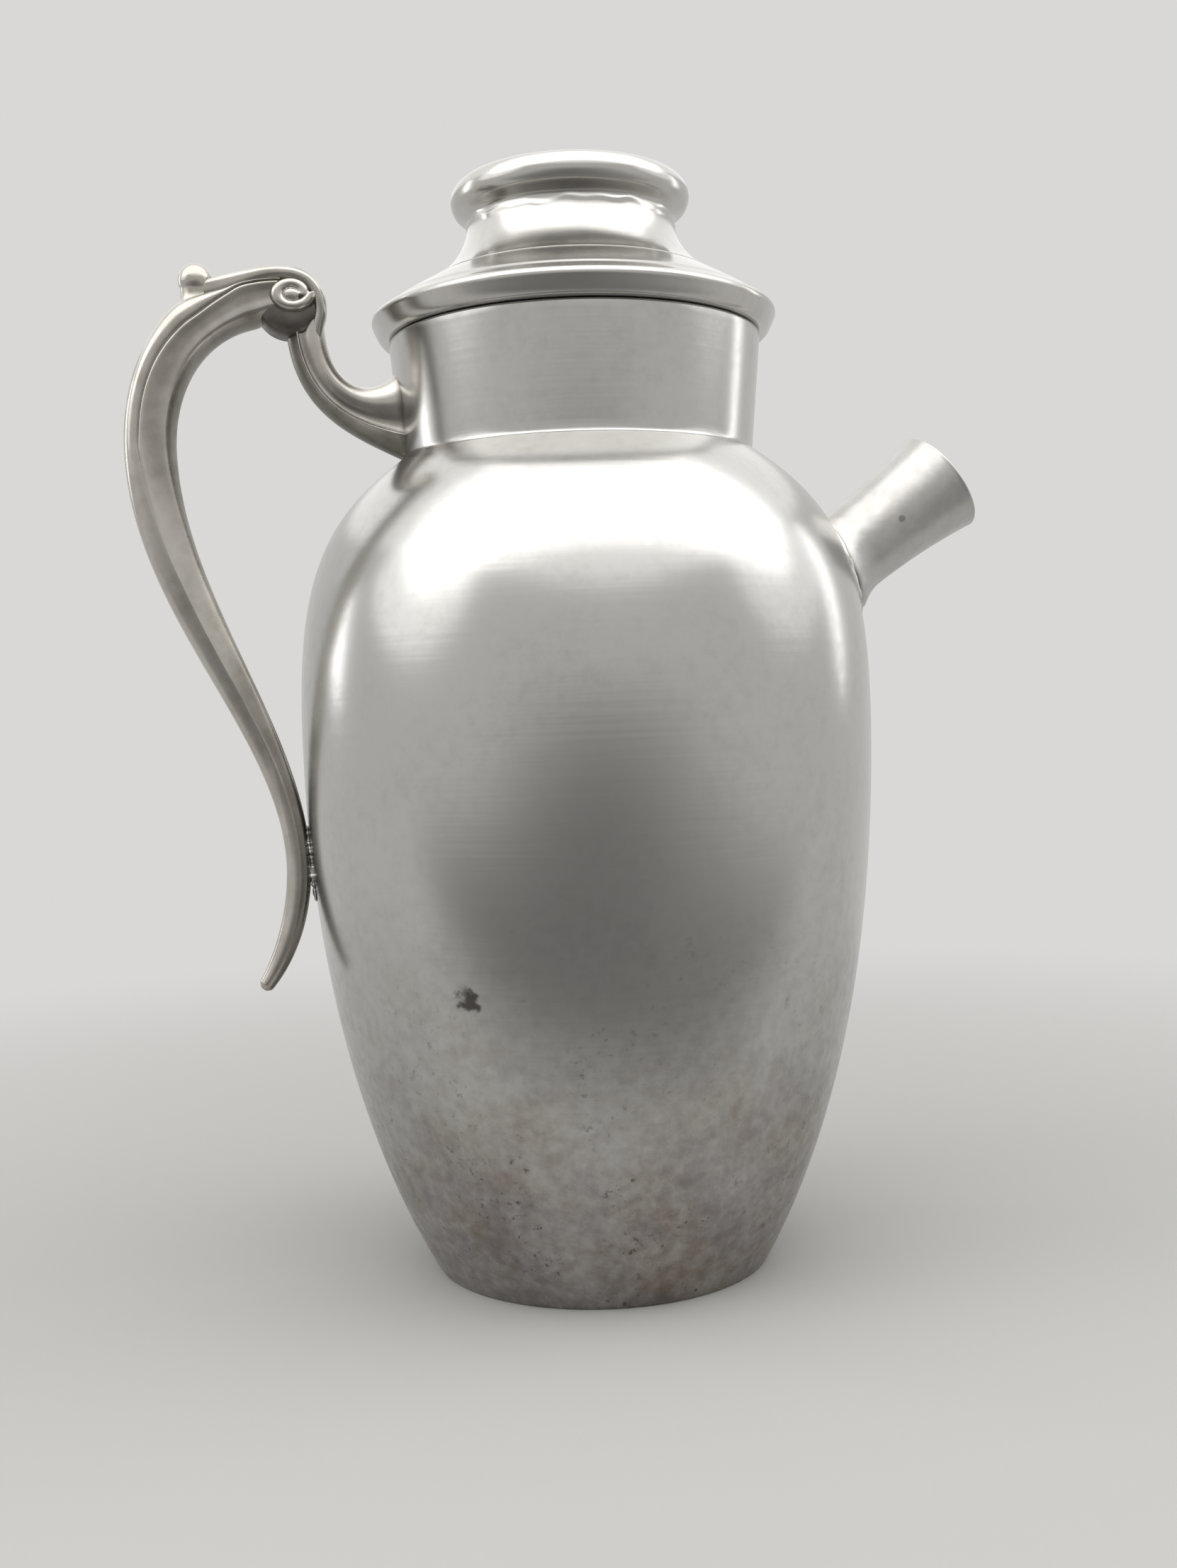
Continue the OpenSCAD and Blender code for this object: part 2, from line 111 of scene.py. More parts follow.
class JugBody(bpy.types.PropertyGroup):
    """Sizes of the spun body, its base and its neck."""

    foot_r: length("Foot radius", "Outer radius of the edge that the jug stands on", 40.4 * MM)
    foot_lean: lean("Foot lean", "Lean of the wall at the foot, out from upright", 30)
    foot_lip: length("Foot lip", "Width of the sheet turned in under the foot", 3 * MM)
    foot_round: length("Foot rounding", "Rounding of the edge that the jug stands on", 0.5 * MM)
    belly_r: length("Belly radius", "Outer radius at the widest ring", BODY_TOP.y)
    belly_z: length("Belly height", "Height of the widest ring", 130 * MM)
    shoulder_r: length("Shoulder radius", "Radius of the edge that carries the neck", 42.5 * MM)
    shoulder_z: length("Shoulder height", "Height of the edge that carries the neck", BODY_TOP.z)
    shoulder_lean: lean("Shoulder lean", "Lean of the shoulder at the neck, in from upright", 55)
    wall: length("Wall", "Thickness of the spun sheet", 1.5 * MM)
    wobble: length("Unevenness", "Height of the slow waves that hand spinning leaves", 0.07 * MM)
    base_t: length("Base thickness", "Thickness of the base disc", 1.5 * MM)
    base_rise: length("Base rise", "Rise of the base disc at its middle", 3 * MM)
    neck_foot_r: length("Neck foot radius", "Outer radius of the neck at the shoulder", 42 * MM)
    neck_mouth_r: length("Neck mouth radius", "Outer radius of the neck at its mouth", NECK_TOP.x)
    mouth_z: length("Mouth height", "Height of the neck's mouth", NECK_TOP.z)
    mouth_round: length("Mouth rounding", "Rounding of the mouth's outer edge", 0.8 * MM)
    seam: length("Seam", "Reach of the solder fillet at the foot of the neck", 0.6 * MM)


class JugSpout(bpy.types.PropertyGroup):
    """Sizes of the trumpet spout."""

    root_z: length("Root height", "Height where the spout's axis leaves the wall", 167.7 * MM)
    tilt: lean("Tilt", "Rise of the spout's axis above level", 35.3)
    reach: length("Reach", "Length along the axis from the wall to the mouth", 36.2 * MM)
    mouth_r: length("Mouth radius", "Outer radius at the mouth", 13.3 * MM)
    waist_r: length("Waist radius", "Outer radius at the waist", 10.8 * MM)
    waist_at: length("Waist place", "Distance of the waist from the wall", 7.5 * MM)
    root_r: length("Root radius", "Outer radius of the flared root at the wall", 13.2 * MM)
    wall: length("Wall", "Thickness of the spout's sheet", 1.3 * MM)
    strainer_at: length("Strainer seat", "Distance of the strainer from the wall", 4.16 * MM)
    strainer_ledge: length("Strainer ledge", "Width of the ledge under the strainer", 0.85 * MM)
    solder: length("Solder", "Height of the run of solder on the wall round the root", 2.5 * MM)


class JugLid(bpy.types.PropertyGroup):
    """Sizes of the lid."""

    wall: length("Wall", "Thickness of the lid's sheet", 1.2 * MM)
    rim_r: length("Rim radius", "Outer radius of the rolled rim", RIM_EDGE.x)
    rim_up: length("Rim height", "Height of the rim's nose above the mouth", 4.4 * MM)
    land_up: length("Land height", "Height of the land under the knob above the mouth", 13.4 * MM)
    step_r: length("Step radius", "Radius of the faint turned step on the skirt", 44.3 * MM)
    knob_foot_r: length("Knob foot radius", "Outer radius of the knob's foot", 34 * MM)
    knob_step: length("Knob step", "Depth of the upright edge round the knob's foot", 0.5 * MM)
    waist_r: length("Waist radius", "Outer radius of the knob's waist", 24.9 * MM)
    top_z: length("Top height", "Height of the top of the bead", KNOB_TOP.z)
    bead_r: length("Bead radius", "Radius of the bead round the knob's top", 4.2 * MM)
    top_rise: length("Top rise", "Rise of the top disc at its middle", 2 * MM)
    sleeve_depth: length("Sleeve depth", "Depth that the sleeve reaches into the neck", 15 * MM)
    sleeve_wall: length("Sleeve wall", "Thickness of the sleeve", 1.1 * MM)
    sleeve_gap: length("Sleeve gap", "Clearance between the sleeve and the neck", 0.35 * MM)


class JugHandle(bpy.types.PropertyGroup):
    """Sizes of the cast scroll handle, in the plane of the handle."""

    volute: spot("Volute", "Middle of the volute, out and up", -67.5 * MM, 230.3 * MM)
    ball: spot("Thumb ball", "Middle of the thumb ball, out and up", -88.7 * MM, 235.3 * MM)
    grip: spot("Grip", "Outermost point of the grip's middle line", -100.3 * MM, 196.6 * MM)
    lug: spot("Lower joint", "Middle line at the lower joint", -70.5 * MM, 99 * MM)
    tip: spot("Tail tip", "End of the tail", -79.7 * MM, 70.4 * MM)
    root: spot("Root", "Middle of the arm's root on the neck", -42.9 * MM, 204.5 * MM)
    arch_t: length("Arch thickness", "Thickness at the arch, seen from the side", 13.6 * MM)
    grip_t: length("Grip thickness", "Thickness at the grip, seen from the side", 11.8 * MM)
    low_t: length("Lower thickness", "Thickness at the lower joint, seen from the side", 5.7 * MM)
    tip_t: length("Tip thickness", "Thickness at the tail's tip, seen from the side", 3.3 * MM)
    grip_w: length("Grip width", "Width across the hand", 11.6 * MM)
    low_w: length("Lower width", "Width at the lower joint", 6.4 * MM)
    volute_r: length("Volute radius", "Radius of the volute's drum", 8.1 * MM)
    volute_w: length("Volute width", "Width of the volute's drum", 12.6 * MM)
    ball_r: length("Ball radius", "Radius of the thumb ball", 3.9 * MM)
    arm_t: length("Arm thickness", "Thickness of the arm, seen from the side", 8.8 * MM)
    arm_w: length("Arm width", "Width of the arm", 9.6 * MM)
    root_h: length("Root height", "Height of the arm's flared root", 22.4 * MM)


class JugFinish(bpy.types.PropertyGroup):
    """Colours of the pewter."""

    body: colour("Body pewter", "Clean spun pewter of the body", "#C1C0BD")
    lid: colour("Lid pewter", "Clean spun pewter of the lid", "#C0BEBA")
    cast: colour("Cast pewter", "Clean cast pewter of the handle", "#C2BFB8")
    patina: colour("Patina", "Warm brown film on old pewter", "#7F7264")
    bloom: colour("Bloom", "Mauve grey film beside the brown", "#7D7574")
    # The oxide colour also serves as the painted shade on the handle's faces, flanks and undersides
    # and under the spout's root
    oxide: colour("Oxide", "Dark oxide in hollows, pits and stains", "#3A342F")
    solder: colour("Solder", "Solder run at the joints", "#C6C4BF")


class JugStage(bpy.types.PropertyGroup):
    """Light and backdrop."""

    floor: colour("Floor", "Pale floor", "#CFCECB")
    backdrop: colour("Backdrop", "Pale backdrop that the camera and the metal see", "#D9D8D6")
    ambient: FloatProperty(name="Ambient", description="Even light from all sides on matt surfaces",
                           default=0.05, min=0.0, max=1.0, subtype="FACTOR")
    key: power("Key light", "Power of the soft box overhead", 9.5)
    veil: power("Veil light", "Power of the broad dim box round the key", 11.0)
    left: power("Left light", "Power of the soft box on the handle's side", 1.2)
    right: power("Right light", "Power of the soft box on the spout's side", 0.8)
    strip: power("Strip lights", "Power of the narrow lights at the back", 0.55)
    # The flag glows this grey by itself and only the metal sees it: a painted dark reflection
    flag: colour("Flag", "Grey sheet round the camera that the metal mirrors", "#868584")


# Curves and grids

def smooth(x):
    """Eases from 0 to 1: three x squared less two x cubed, held at the ends."""
    x = np.clip(x, 0, 1)
    return x * x * (3 - 2 * x)


def mix(a, b, t):
    """The point at share t of the way from a to b."""
    return a + (b - a) * t


def unit(rows):
    """Each row divided by its length."""
    return rows / np.linalg.norm(rows, axis=1, keepdims=True)


def around(count):
    """Evenly spaced turns round a full circle, in radians."""
    return np.linspace(0, 2 * np.pi, count, endpoint=False)


def heading(degrees):
    """Unit direction at an angle from the first axis: its cosine and its sine."""
    return np.array([math.cos(math.radians(degrees)), math.sin(math.radians(degrees))])


def bezier(points, count):
    """Cubic curve: the four control points weighted by the terms of (1 - t + t) cubed."""
    p = np.asarray(points, float)
    t = np.linspace(0, 1, count)[:, None]
    s = 1 - t
    return p[0] * s ** 3 + 3 * p[1] * t * s ** 2 + 3 * p[2] * t * t * s + p[3] * t ** 3


def spline(points, count):
    """Smooth line through the points: a cubic on each span whose slope at either end is half the
    chord between the neighbours."""
    p = np.asarray(points, float)
    p = np.vstack([2 * p[0] - p[1], p, 2 * p[-1] - p[-2]])
    x = np.linspace(0, len(p) - 3, count)
    i = np.minimum(x.astype(int), len(p) - 4)
    t = (x - i)[:, None]
    a, b, c, d = p[i], p[i + 1], p[i + 2], p[i + 3]
    return b + 0.5 * t * (c - a + t * (2 * a - 5 * b + 4 * c - d + t * (3 * (b - c) + d - a)))


def arc(centre, radius, start, stop, count):
    """Points on a circle between two angles in degrees."""
    a = np.radians(np.linspace(start, stop, count))
    return np.asarray(centre) + radius * np.stack([np.cos(a), np.sin(a)], 1)


def line(a, b, step=ROW_STEP):
    """Evenly spaced points from a to b, without b. A line that follows a curve is started a few
    tenths of a millimetre past the curve's end, so that no two points fall together."""
    a, b = np.asarray(a, float), np.asarray(b, float)
    count = max(2, int(np.ceil(np.linalg.norm(b - a) / step)) + 1)
    return mix(a, b, np.linspace(0, 1, count)[:-1, None])


def beside(points, distance):
    """The line moved to the left of its own direction."""
    d = unit(np.gradient(points, axis=0))
    return points + distance * np.stack([-d[:, 1], d[:, 0]], 1)


def along_path(path):
    """Distance along a path from its start: the running sum of its steps."""
    return np.concatenate([[0], np.cumsum(np.linalg.norm(np.diff(path, axis=0), axis=1))])


def grid_quads(rows, columns, wrap_rows, wrap_columns):
    """Quads of a grid whose point at row i and column j has number i times columns plus j."""
    i = np.arange(rows if wrap_rows else rows - 1)[:, None]
    j = np.arange(columns if wrap_columns else columns - 1)[None, :]
    below, right = (i + 1) % rows, (j + 1) % columns
    corners = (i * columns + j, i * columns + right, below * columns + right, below * columns + j)
    return np.stack([np.broadcast_to(c, (len(i), j.shape[1])) for c in corners], -1).reshape(-1, 4)


NO_TRIS = np.zeros((0, 3), int)


def outward(points, quads, tris=NO_TRIS):
    """A closed shell whose faces point outward: all are turned over if the volume that they
    enclose, the sum of a . (b x c) over its triangles, comes out negative."""
    every = np.vstack([quads[:, [0, 1, 2]], quads[:, [0, 2, 3]], tris]).astype(int)
    a, b, c = (points[every[:, k]] for k in range(3))
    if np.einsum("ij,ij->", a, np.cross(b, c)) < 0:
        quads, tris = quads[:, ::-1], tris[:, ::-1]
    return points, quads, tris


def hoops(profile, turn, swell=0.0):
    """Turns each point (radius, height) of a profile about +Z: x = r cos a, y = r sin a, where r is
    the radius plus the swell."""
    r, z = profile[:, :1] + swell, profile[:, 1:]
    return np.stack(np.broadcast_arrays(r * np.cos(turn), r * np.sin(turn), z), -1)


def ring_shell(rings):
    """Closes rings of points round each ring, and from the last ring back to the first."""
    return outward(rings.reshape(-1, 3), grid_quads(*rings.shape[:2], True, True))


def tube(rings, tips=None):
    """Closes rings of points into a tube with a fan over each end, up to the two tips or else to
    the middles of the end rings."""
    rows, columns = rings.shape[:2]
    first, last = tips or (rings[0].mean(0), rings[-1].mean(0))
    points = np.vstack([rings.reshape(-1, 3), first, last])
    count = rows * columns
    ring = np.arange(columns)
    after = np.roll(ring, -1)
    end = count - columns
    fans = [np.stack([after, ring, np.full(columns, count)], 1),
            np.stack([ring + end, after + end, np.full(columns, count + 1)], 1)]
    return outward(points, grid_quads(rows, columns, False, True), np.vstack(fans))


def turned(profile, swell=None):
    """Turns a profile about +Z. A closed profile gives a ring; one that starts and ends on the axis
    gets a single point at each pole. A swell of angle and height may be added to the radius of its
    first half."""
    turn = around(COLUMNS)
    poles = profile[0, 0] < 1e-9 and profile[-1, 0] < 1e-9
    rows = profile[1:-1] if poles else profile
    extra = 0.0
    if swell:
        outside = np.arange(len(rows)) < len(rows) / 2
        extra = swell(turn, rows[:, 1:]) * outside[:, None]
    rings = hoops(rows, turn, extra)
    if poles:
        return tube(rings, ([0, 0, profile[0, 1]], [0, 0, profile[-1, 1]]))
    return ring_shell(rings)


def joined(shells):
    """Puts several closed shells into one mesh: the numbers in each one's faces grow by the points
    before."""
    starts = np.cumsum([0] + [len(s[0]) for s in shells[:-1]])
    return (np.vstack([s[0] for s in shells]),
            np.vstack([s[1] + n for s, n in zip(shells, starts)]),
            np.vstack([s[2] + n for s, n in zip(shells, starts)]))


def new_object(name, points, faces, material):
    """Makes one object of points and faces, with its place in its mesh."""
    mesh = bpy.data.meshes.new(name)
    mesh.from_pydata(points.tolist(), [], faces)
    mesh.materials.append(material)
    thing = bpy.data.objects.new(name, mesh)
    bpy.context.scene.collection.objects.link(thing)
    return thing


def add_piece(name, shell, material, body, nodes=(), grime_and_shade=None):
    """Makes one piece of a shell, rides it on its body and lets it stand for its packed nodes. The
    hollow is each point's share of dirt."""
    points, quads, tris = shell
    piece = new_object(name, points, quads.tolist() + tris.tolist(), material)
    mesh = piece.data
    mesh.polygons.foreach_set("use_smooth", np.ones(len(mesh.polygons), bool))
    if grime_and_shade is not None:
        soil_and_shade = mesh.attributes.new("grime_and_shade", "FLOAT", "POINT")
        soil_and_shade.data.foreach_set("value", grime_and_shade.astype(np.float32))
    mesh.update()
    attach(piece, body)
    if nodes:
        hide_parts(*nodes)


# Materials

def add(tree, kind, inputs=None, **settings):
    """Adds one node with its settings, sets or links its inputs, and gives its outputs."""
    node = tree.nodes.new(kind)
    for key, value in settings.items():
        setattr(node, key, value)
    for key, value in (inputs or {}).items():
        if isinstance(value, bpy.types.NodeSocket):
            tree.links.new(value, node.inputs[key])
        else:
            node.inputs[key].default_value = value
    return node.outputs


def opaque(rgb):
    """A colour with full alpha for a node's socket."""
    return (*rgb, 1.0)


def new_material(name):
    """A material with an empty node tree."""
    material = bpy.data.materials.new(name)
    material.use_nodes = True
    material.node_tree.nodes.clear()
    return material


# Dark stains: middle, reach, raggedness and strength
BODY_STAIN = (-37.7 * MM, -52.0 * MM, 73.4 * MM), 3.4 * MM, 7 * MM, 0.85
SPOUT_STAIN = (78.5 * MM, -11.2 * MM, 178.2 * MM), 1.2 * MM, 1 * MM, 0.5

# Spun finishes: colour of the clean metal, age of its film, roughness where it is rubbed, and stain
SPUN_FINISHES = {
    "spun_pewter_body": ("body", 0.0, 0.185, BODY_STAIN),
    "spun_pewter_lid": ("lid", 0.0, 0.175, None),
    "spun_pewter_spout": ("body", 0.14, 0.27, SPOUT_STAIN),
}


def spun_pewter(name):
    """Spun pewter, a soft grey tin alloy turned over a former and rubbed to a satin. It gives
    blurred mirror images, faint level rings from the spinning tool, and a brown and mauve film that
    gathers in cloudy patches and grows toward the foot, with clusters of small dark pits there."""
    metal, age, rub, stain = SPUN_FINISHES[name]
    colours = bpy.context.scene.jug_finish
    clean, oxide = opaque(getattr(colours, metal)), opaque(colours.oxide)
    tree = new_material(name).node_tree
    place = add(tree, "ShaderNodeTexCoord")["Object"]
    height = add(tree, "ShaderNodeSeparateXYZ", {0: place})["Z"]
    # The film is at its thickest at the foot and fades out over 110 mm: partly patina, partly a
    # painted reflection that darkens the lower body
    low = add(tree, "ShaderNodeMapRange",
              {"Value": height, "From Min": 110 * MM, "From Max": 4 * MM},
              interpolation_type="SMOOTHSTEP")[0]
    # Clouds of film about 22 mm across, with grain of 3 mm, and its two tints in patches of 15 mm
    cloud = add(tree, "ShaderNodeTexNoise",
                {"Vector": place, "Scale": 1 / (22 * MM), "Detail": 7.0, "Roughness": 0.62})[0]
    grain = add(tree, "ShaderNodeTexNoise",
                {"Vector": place, "Scale": 1 / (3 * MM), "Detail": 4.0, "Roughness": 0.6})[0]
    patch = add(tree, "ShaderNodeTexNoise",
                {"Vector": place, "Scale": 1 / (15 * MM), "Detail": 4.0})
    mixed = add(tree, "ShaderNodeMath", {0: cloud, 1: 0.5, 2: 0.22}, operation="MULTIPLY_ADD")[0]
    mixed = add(tree, "ShaderNodeMath", {0: grain, 1: 0.5, 2: mixed}, operation="MULTIPLY_ADD")[0]
    lifted = add(tree, "ShaderNodeMath", {0: low, 1: 0.25, 2: mixed}, operation="MULTIPLY_ADD")[0]
    film = add(tree, "ShaderNodeMapRange",
               {"Value": lifted, "From Min": 0.62 - age, "From Max": 1.2 - age},
               interpolation_type="SMOOTHSTEP")[0]
    gathered = add(tree, "ShaderNodeMapRange",
                   {"Value": low, "To Min": 0.35 + 0.3 * age, "To Max": 0.95})[0]
    film = add(tree, "ShaderNodeMath", {0: film, 1: gathered}, operation="MULTIPLY")[0]
    tint = add(tree, "ShaderNodeMapRange",
               {"Value": patch[0], "From Min": 0.42, "From Max": 0.58})[0]
    tint = add(tree, "ShaderNodeMix",
               {0: tint, 6: opaque(colours.bloom), 7: opaque(colours.patina)}, data_type="RGBA")[2]
    tone = add(tree, "ShaderNodeMix", {0: film, 6: clean, 7: tint}, data_type="RGBA")[2]
    # Ragged pits about 2 mm across, in clusters near the foot
    pit = add(tree, "ShaderNodeTexNoise",
              {"Vector": place, "Scale": 1 / (2 * MM), "Detail": 4.0, "Roughness": 0.7})[0]
    pit = add(tree, "ShaderNodeMapRange", {"Value": pit, "From Min": 0.57, "From Max": 0.69},
              interpolation_type="SMOOTHSTEP")[0]
    cluster = add(tree, "ShaderNodeSeparateColor", {0: patch[1]})["Blue"]
    cluster = add(tree, "ShaderNodeMapRange",
                  {"Value": cluster, "From Min": 0.46, "From Max": 0.58, "To Max": 0.8})[0]
    pit = add(tree, "ShaderNodeMath", {0: pit, 1: cluster}, operation="MULTIPLY")[0]
    pit = add(tree, "ShaderNodeMath", {0: pit, 1: low}, operation="MULTIPLY")[0]
    tone = add(tree, "ShaderNodeMix", {0: pit, 6: tone, 7: oxide}, data_type="RGBA")[2]
    if stain:
        # One stain, whose outline is shaken by noise of 3 mm
        centre, reach, shake, strength = stain
        ragged = add(tree, "ShaderNodeTexNoise",
                     {"Vector": place, "Scale": 1 / (3 * MM), "Detail": 4.0})[1]
        ragged = add(tree, "ShaderNodeVectorMath", {0: ragged, 1: (shake,) * 3, 2: place},
                     operation="MULTIPLY_ADD")[0]
        middle = tuple(c + shake / 2 for c in centre)
        away = add(tree, "ShaderNodeVectorMath", {0: ragged, 1: middle},
                   operation="DISTANCE")["Value"]
        dark = add(tree, "ShaderNodeMapRange",
                   {"Value": away, "From Min": reach, "From Max": 0.47 * reach, "To Max": strength},
                   interpolation_type="SMOOTHSTEP")[0]
        tone = add(tree, "ShaderNodeMix", {0: dark, 6: tone, 7: oxide}, data_type="RGBA")[2]
    # Dark joints, with painted shade on the lower side of the spout's root, read from the mesh
    grime_and_shade = add(tree, "ShaderNodeAttribute", attribute_name="grime_and_shade")["Fac"]
    grime_and_shade = add(tree, "ShaderNodeMath", {0: grime_and_shade, 1: 0.65}, operation="MULTIPLY")[0]
    tone = add(tree, "ShaderNodeMix", {0: grime_and_shade, 6: tone, 7: oxide}, data_type="RGBA")[2]
    # Rings of the spinning tool, really about 0.4 mm apart, drawn at 1.5 mm so that they show
    ringed = add(tree, "ShaderNodeVectorMath",
                 {0: place, 1: (1 / (40 * MM), 1 / (40 * MM), 1 / (1.5 * MM))},
                 operation="MULTIPLY")[0]
    ring = add(tree, "ShaderNodeTexNoise", {"Vector": ringed, "Scale": 1.0, "Detail": 1.0})[0]
    rough = add(tree, "ShaderNodeMapRange",
                {"Value": mixed, "From Min": 0.4, "From Max": 1.0,
                 "To Min": rub, "To Max": rub + 0.06})[0]
    rough = add(tree, "ShaderNodeMath", {0: film, 1: 0.1, 2: rough}, operation="MULTIPLY_ADD")[0]
    relief = add(tree, "ShaderNodeMath", {0: pit, 1: -0.8, 2: ring}, operation="MULTIPLY_ADD")[0]
    bump = add(tree, "ShaderNodeBump",
               {"Height": relief, "Strength": 0.18, "Distance": 0.08 * MM})[0]
    shader = add(tree, "ShaderNodeBsdfPrincipled",
                 {"Base Color": tone, "Metallic": 1.0, "Roughness": rough, "Normal": bump})[0]
    add(tree, "ShaderNodeOutputMaterial", {"Surface": shader})


def cast_pewter(name):
    """Cast pewter, poured into a mould and filed: smooth and bright on the ridges that the hand
    rubs, with a faint orange-peel skin, and dark oxide left in the grooves and hollows."""
    colours = bpy.context.scene.jug_finish
    tree = new_material(name).node_tree
    place = add(tree, "ShaderNodeTexCoord")["Object"]
    grime_and_shade = add(tree, "ShaderNodeAttribute", attribute_name="grime_and_shade")["Fac"]
    # Skin of the casting, lumps of about 3 mm, and cloudy film of about 9 mm
    skin = add(tree, "ShaderNodeTexNoise",
               {"Vector": place, "Scale": 1 / (3 * MM), "Detail": 3.0})[0]
    cloud = add(tree, "ShaderNodeTexNoise",
                {"Vector": place, "Scale": 1 / (9 * MM), "Detail": 5.0, "Roughness": 0.6})[0]
    film = add(tree, "ShaderNodeMapRange",
               {"Value": cloud, "From Min": 0.42, "From Max": 0.72,
                "To Min": 0.05, "To Max": 0.4})[0]
    tone = add(tree, "ShaderNodeMix",
               {0: film, 6: opaque(colours.cast), 7: opaque(colours.patina)}, data_type="RGBA")[2]
    # Dark oxide in the grooves and painted shade on faces and undersides, broken up by the clouds
    broken = add(tree, "ShaderNodeMath", {0: cloud, 1: 0.7, 2: 0.62}, operation="MULTIPLY_ADD")[0]
    dark = add(tree, "ShaderNodeMath", {0: grime_and_shade, 1: broken}, operation="MULTIPLY",
               use_clamp=True)[0]
    tone = add(tree, "ShaderNodeMix", {0: dark, 6: tone, 7: opaque(colours.oxide)},
               data_type="RGBA")[2]
    rough = add(tree, "ShaderNodeMapRange",
                {"Value": skin, "From Min": 0.3, "From Max": 0.7,
                 "To Min": 0.18, "To Max": 0.28})[0]
    rough = add(tree, "ShaderNodeMath", {0: dark, 1: 0.2, 2: rough}, operation="MULTIPLY_ADD")[0]
    bump = add(tree, "ShaderNodeBump", {"Height": skin, "Strength": 0.15, "Distance": 0.1 * MM})[0]
    shader = add(tree, "ShaderNodeBsdfPrincipled",
                 {"Base Color": tone, "Metallic": 1.0, "Roughness": rough, "Normal": bump})[0]
    add(tree, "ShaderNodeOutputMaterial", {"Surface": shader})


def soft_solder(name):
    """Soft solder that was run into a joint and left as it froze: brighter than the sheet, lumpy,
    with dull grey skin and dark flux in its pits."""
    colours = bpy.context.scene.jug_finish
    tree = new_material(name).node_tree
    place = add(tree, "ShaderNodeTexCoord")["Object"]
    # Frozen lumps of about 1 mm
    lump = add(tree, "ShaderNodeTexNoise",
               {"Vector": place, "Scale": 1 / (1.0 * MM), "Detail": 3.0})[0]
    flux = add(tree, "ShaderNodeMapRange",
               {"Value": lump, "From Min": 0.46, "From Max": 0.3, "To Max": 0.4})[0]
    tone = add(tree, "ShaderNodeMix",
               {0: flux, 6: opaque(colours.solder), 7: opaque(colours.oxide)}, data_type="RGBA")[2]
    rough = add(tree, "ShaderNodeMapRange", {"Value": lump, "To Min": 0.42, "To Max": 0.24})[0]
    bump = add(tree, "ShaderNodeBump", {"Height": lump, "Strength": 0.5, "Distance": 0.15 * MM})[0]
    shader = add(tree, "ShaderNodeBsdfPrincipled",
                 {"Base Color": tone, "Metallic": 1.0, "Roughness": rough, "Normal": bump})[0]
    add(tree, "ShaderNodeOutputMaterial", {"Surface": shader})


def finish(name, make):
    """The material of that name, made the first time that it is asked for."""
    if name not in bpy.data.materials:
        make(name)
    return bpy.data.materials[name]


# Body

def wall_line(body):
    """Outer line of the body's wall from foot to shoulder: two cubic curves that share an upright
    tangent at the belly. Their handles are shares of the heights below and above it."""
    rise = body.shoulder_z - body.belly_z
    foot = np.array([body.foot_r, 0])
    shoulder = np.array([body.shoulder_r, body.shoulder_z])
    lower = [foot, foot + 0.30 * body.belly_z * heading(90 - math.degrees(body.foot_lean)),
             [body.belly_r, 0.63 * body.belly_z], [body.belly_r, body.belly_z]]
    upper = [[body.belly_r, body.belly_z], [body.belly_r, body.belly_z + 0.56 * rise],
             shoulder - 0.37 * rise * heading(90 + math.degrees(body.shoulder_lean)), shoulder]
    return np.vstack([bezier(lower, 600)[:-1], bezier(upper, 500)])


def wall_radius(body, z):
    """Outer radius of the body's wall at a height, read off its line."""
    path = wall_line(body)
    return np.interp(z, path[:, 1], path[:, 0])


def wall_fall(body, z):
    """How far the wall's radius falls for each unit of rise at a height: its line's slope, turned
    over."""
    path = wall_line(body)
    return -np.interp(z, path[:, 1], np.gradient(path[:, 0], path[:, 1]))


def spun_waves(body, angle, z):
    """Slow waves round and up the wall, three sines of the angle and the height, which die away
    toward the foot and the shoulder."""
    waves = (np.sin(2 * angle + 0.7 + z / (70 * MM)) + 0.7 * np.sin(3 * angle - z / (31 * MM) + 2.1)
             + 0.5 * np.sin(5 * angle + z / (17 * MM)))
    return body.wobble * waves * smooth(z / (20 * MM)) * smooth((body.shoulder_z - z) / (9 * MM))


# Columns of the wall on each side of the middle of the port behind the spout
PORT_COLUMNS = 5


def port_grid(body, spout):
    """Grid of the wall, drawn round the port: for each point its distance along the wall's line and
    its turn, then the turn of each column, and the port's first and last row. Rows and columns are
    spread so that a block of cells just holds the bore's oval. Each point then moves along its ray
    from the port's middle, from square to round distance, which fades out further away."""
    path = wall_line(body)
    run = along_path(path)
    middle = np.interp(spout.root_z, path[:, 1], run)
    bore = spout.waist_r - spout.wall
    half_run = bore / math.cos(spout.tilt - math.atan(wall_fall(body, spout.root_z)))
    half_turn = bore / wall_radius(body, spout.root_z)
    marks = [1.2 * body.foot_round, middle - half_run, middle + half_run, run[-1]]
    spans = list(zip(marks[:-1], marks[1:]))
    counts = [int(round((b - a) / ROW_STEP)) for a, b in spans]
    counts[1] += counts[1] % 2
    rows = [np.linspace(a, b, n, endpoint=False) for (a, b), n in zip(spans, counts)]
    rows = np.concatenate(rows + [[run[-1]]])
    turn = around(COLUMNS)
    turn = np.where(turn > np.pi, turn - 2 * np.pi, turn)
    edge = PORT_COLUMNS * 2 * np.pi / COLUMNS
    near = np.abs(turn)
    shift = np.where(near <= edge, near / edge, 1 - smooth((near - edge) / (3 * edge)))
    turn = turn + np.sign(turn) * (half_turn - edge) * shift
    up = (rows[:, None] - middle) / half_run
    aside = turn[None, :] / half_turn
    square = np.maximum(np.abs(up), np.abs(aside))
    fade = smooth((2.4 - square) / 1.4)
    pull = 1 + fade * (square / np.maximum(np.hypot(up, aside), 1e-9) - 1)
    wall_run = middle + up * pull * half_run
    wall_turn = aside * pull * half_turn
    return wall_run, wall_turn, turn, counts[0], counts[0] + counts[1]


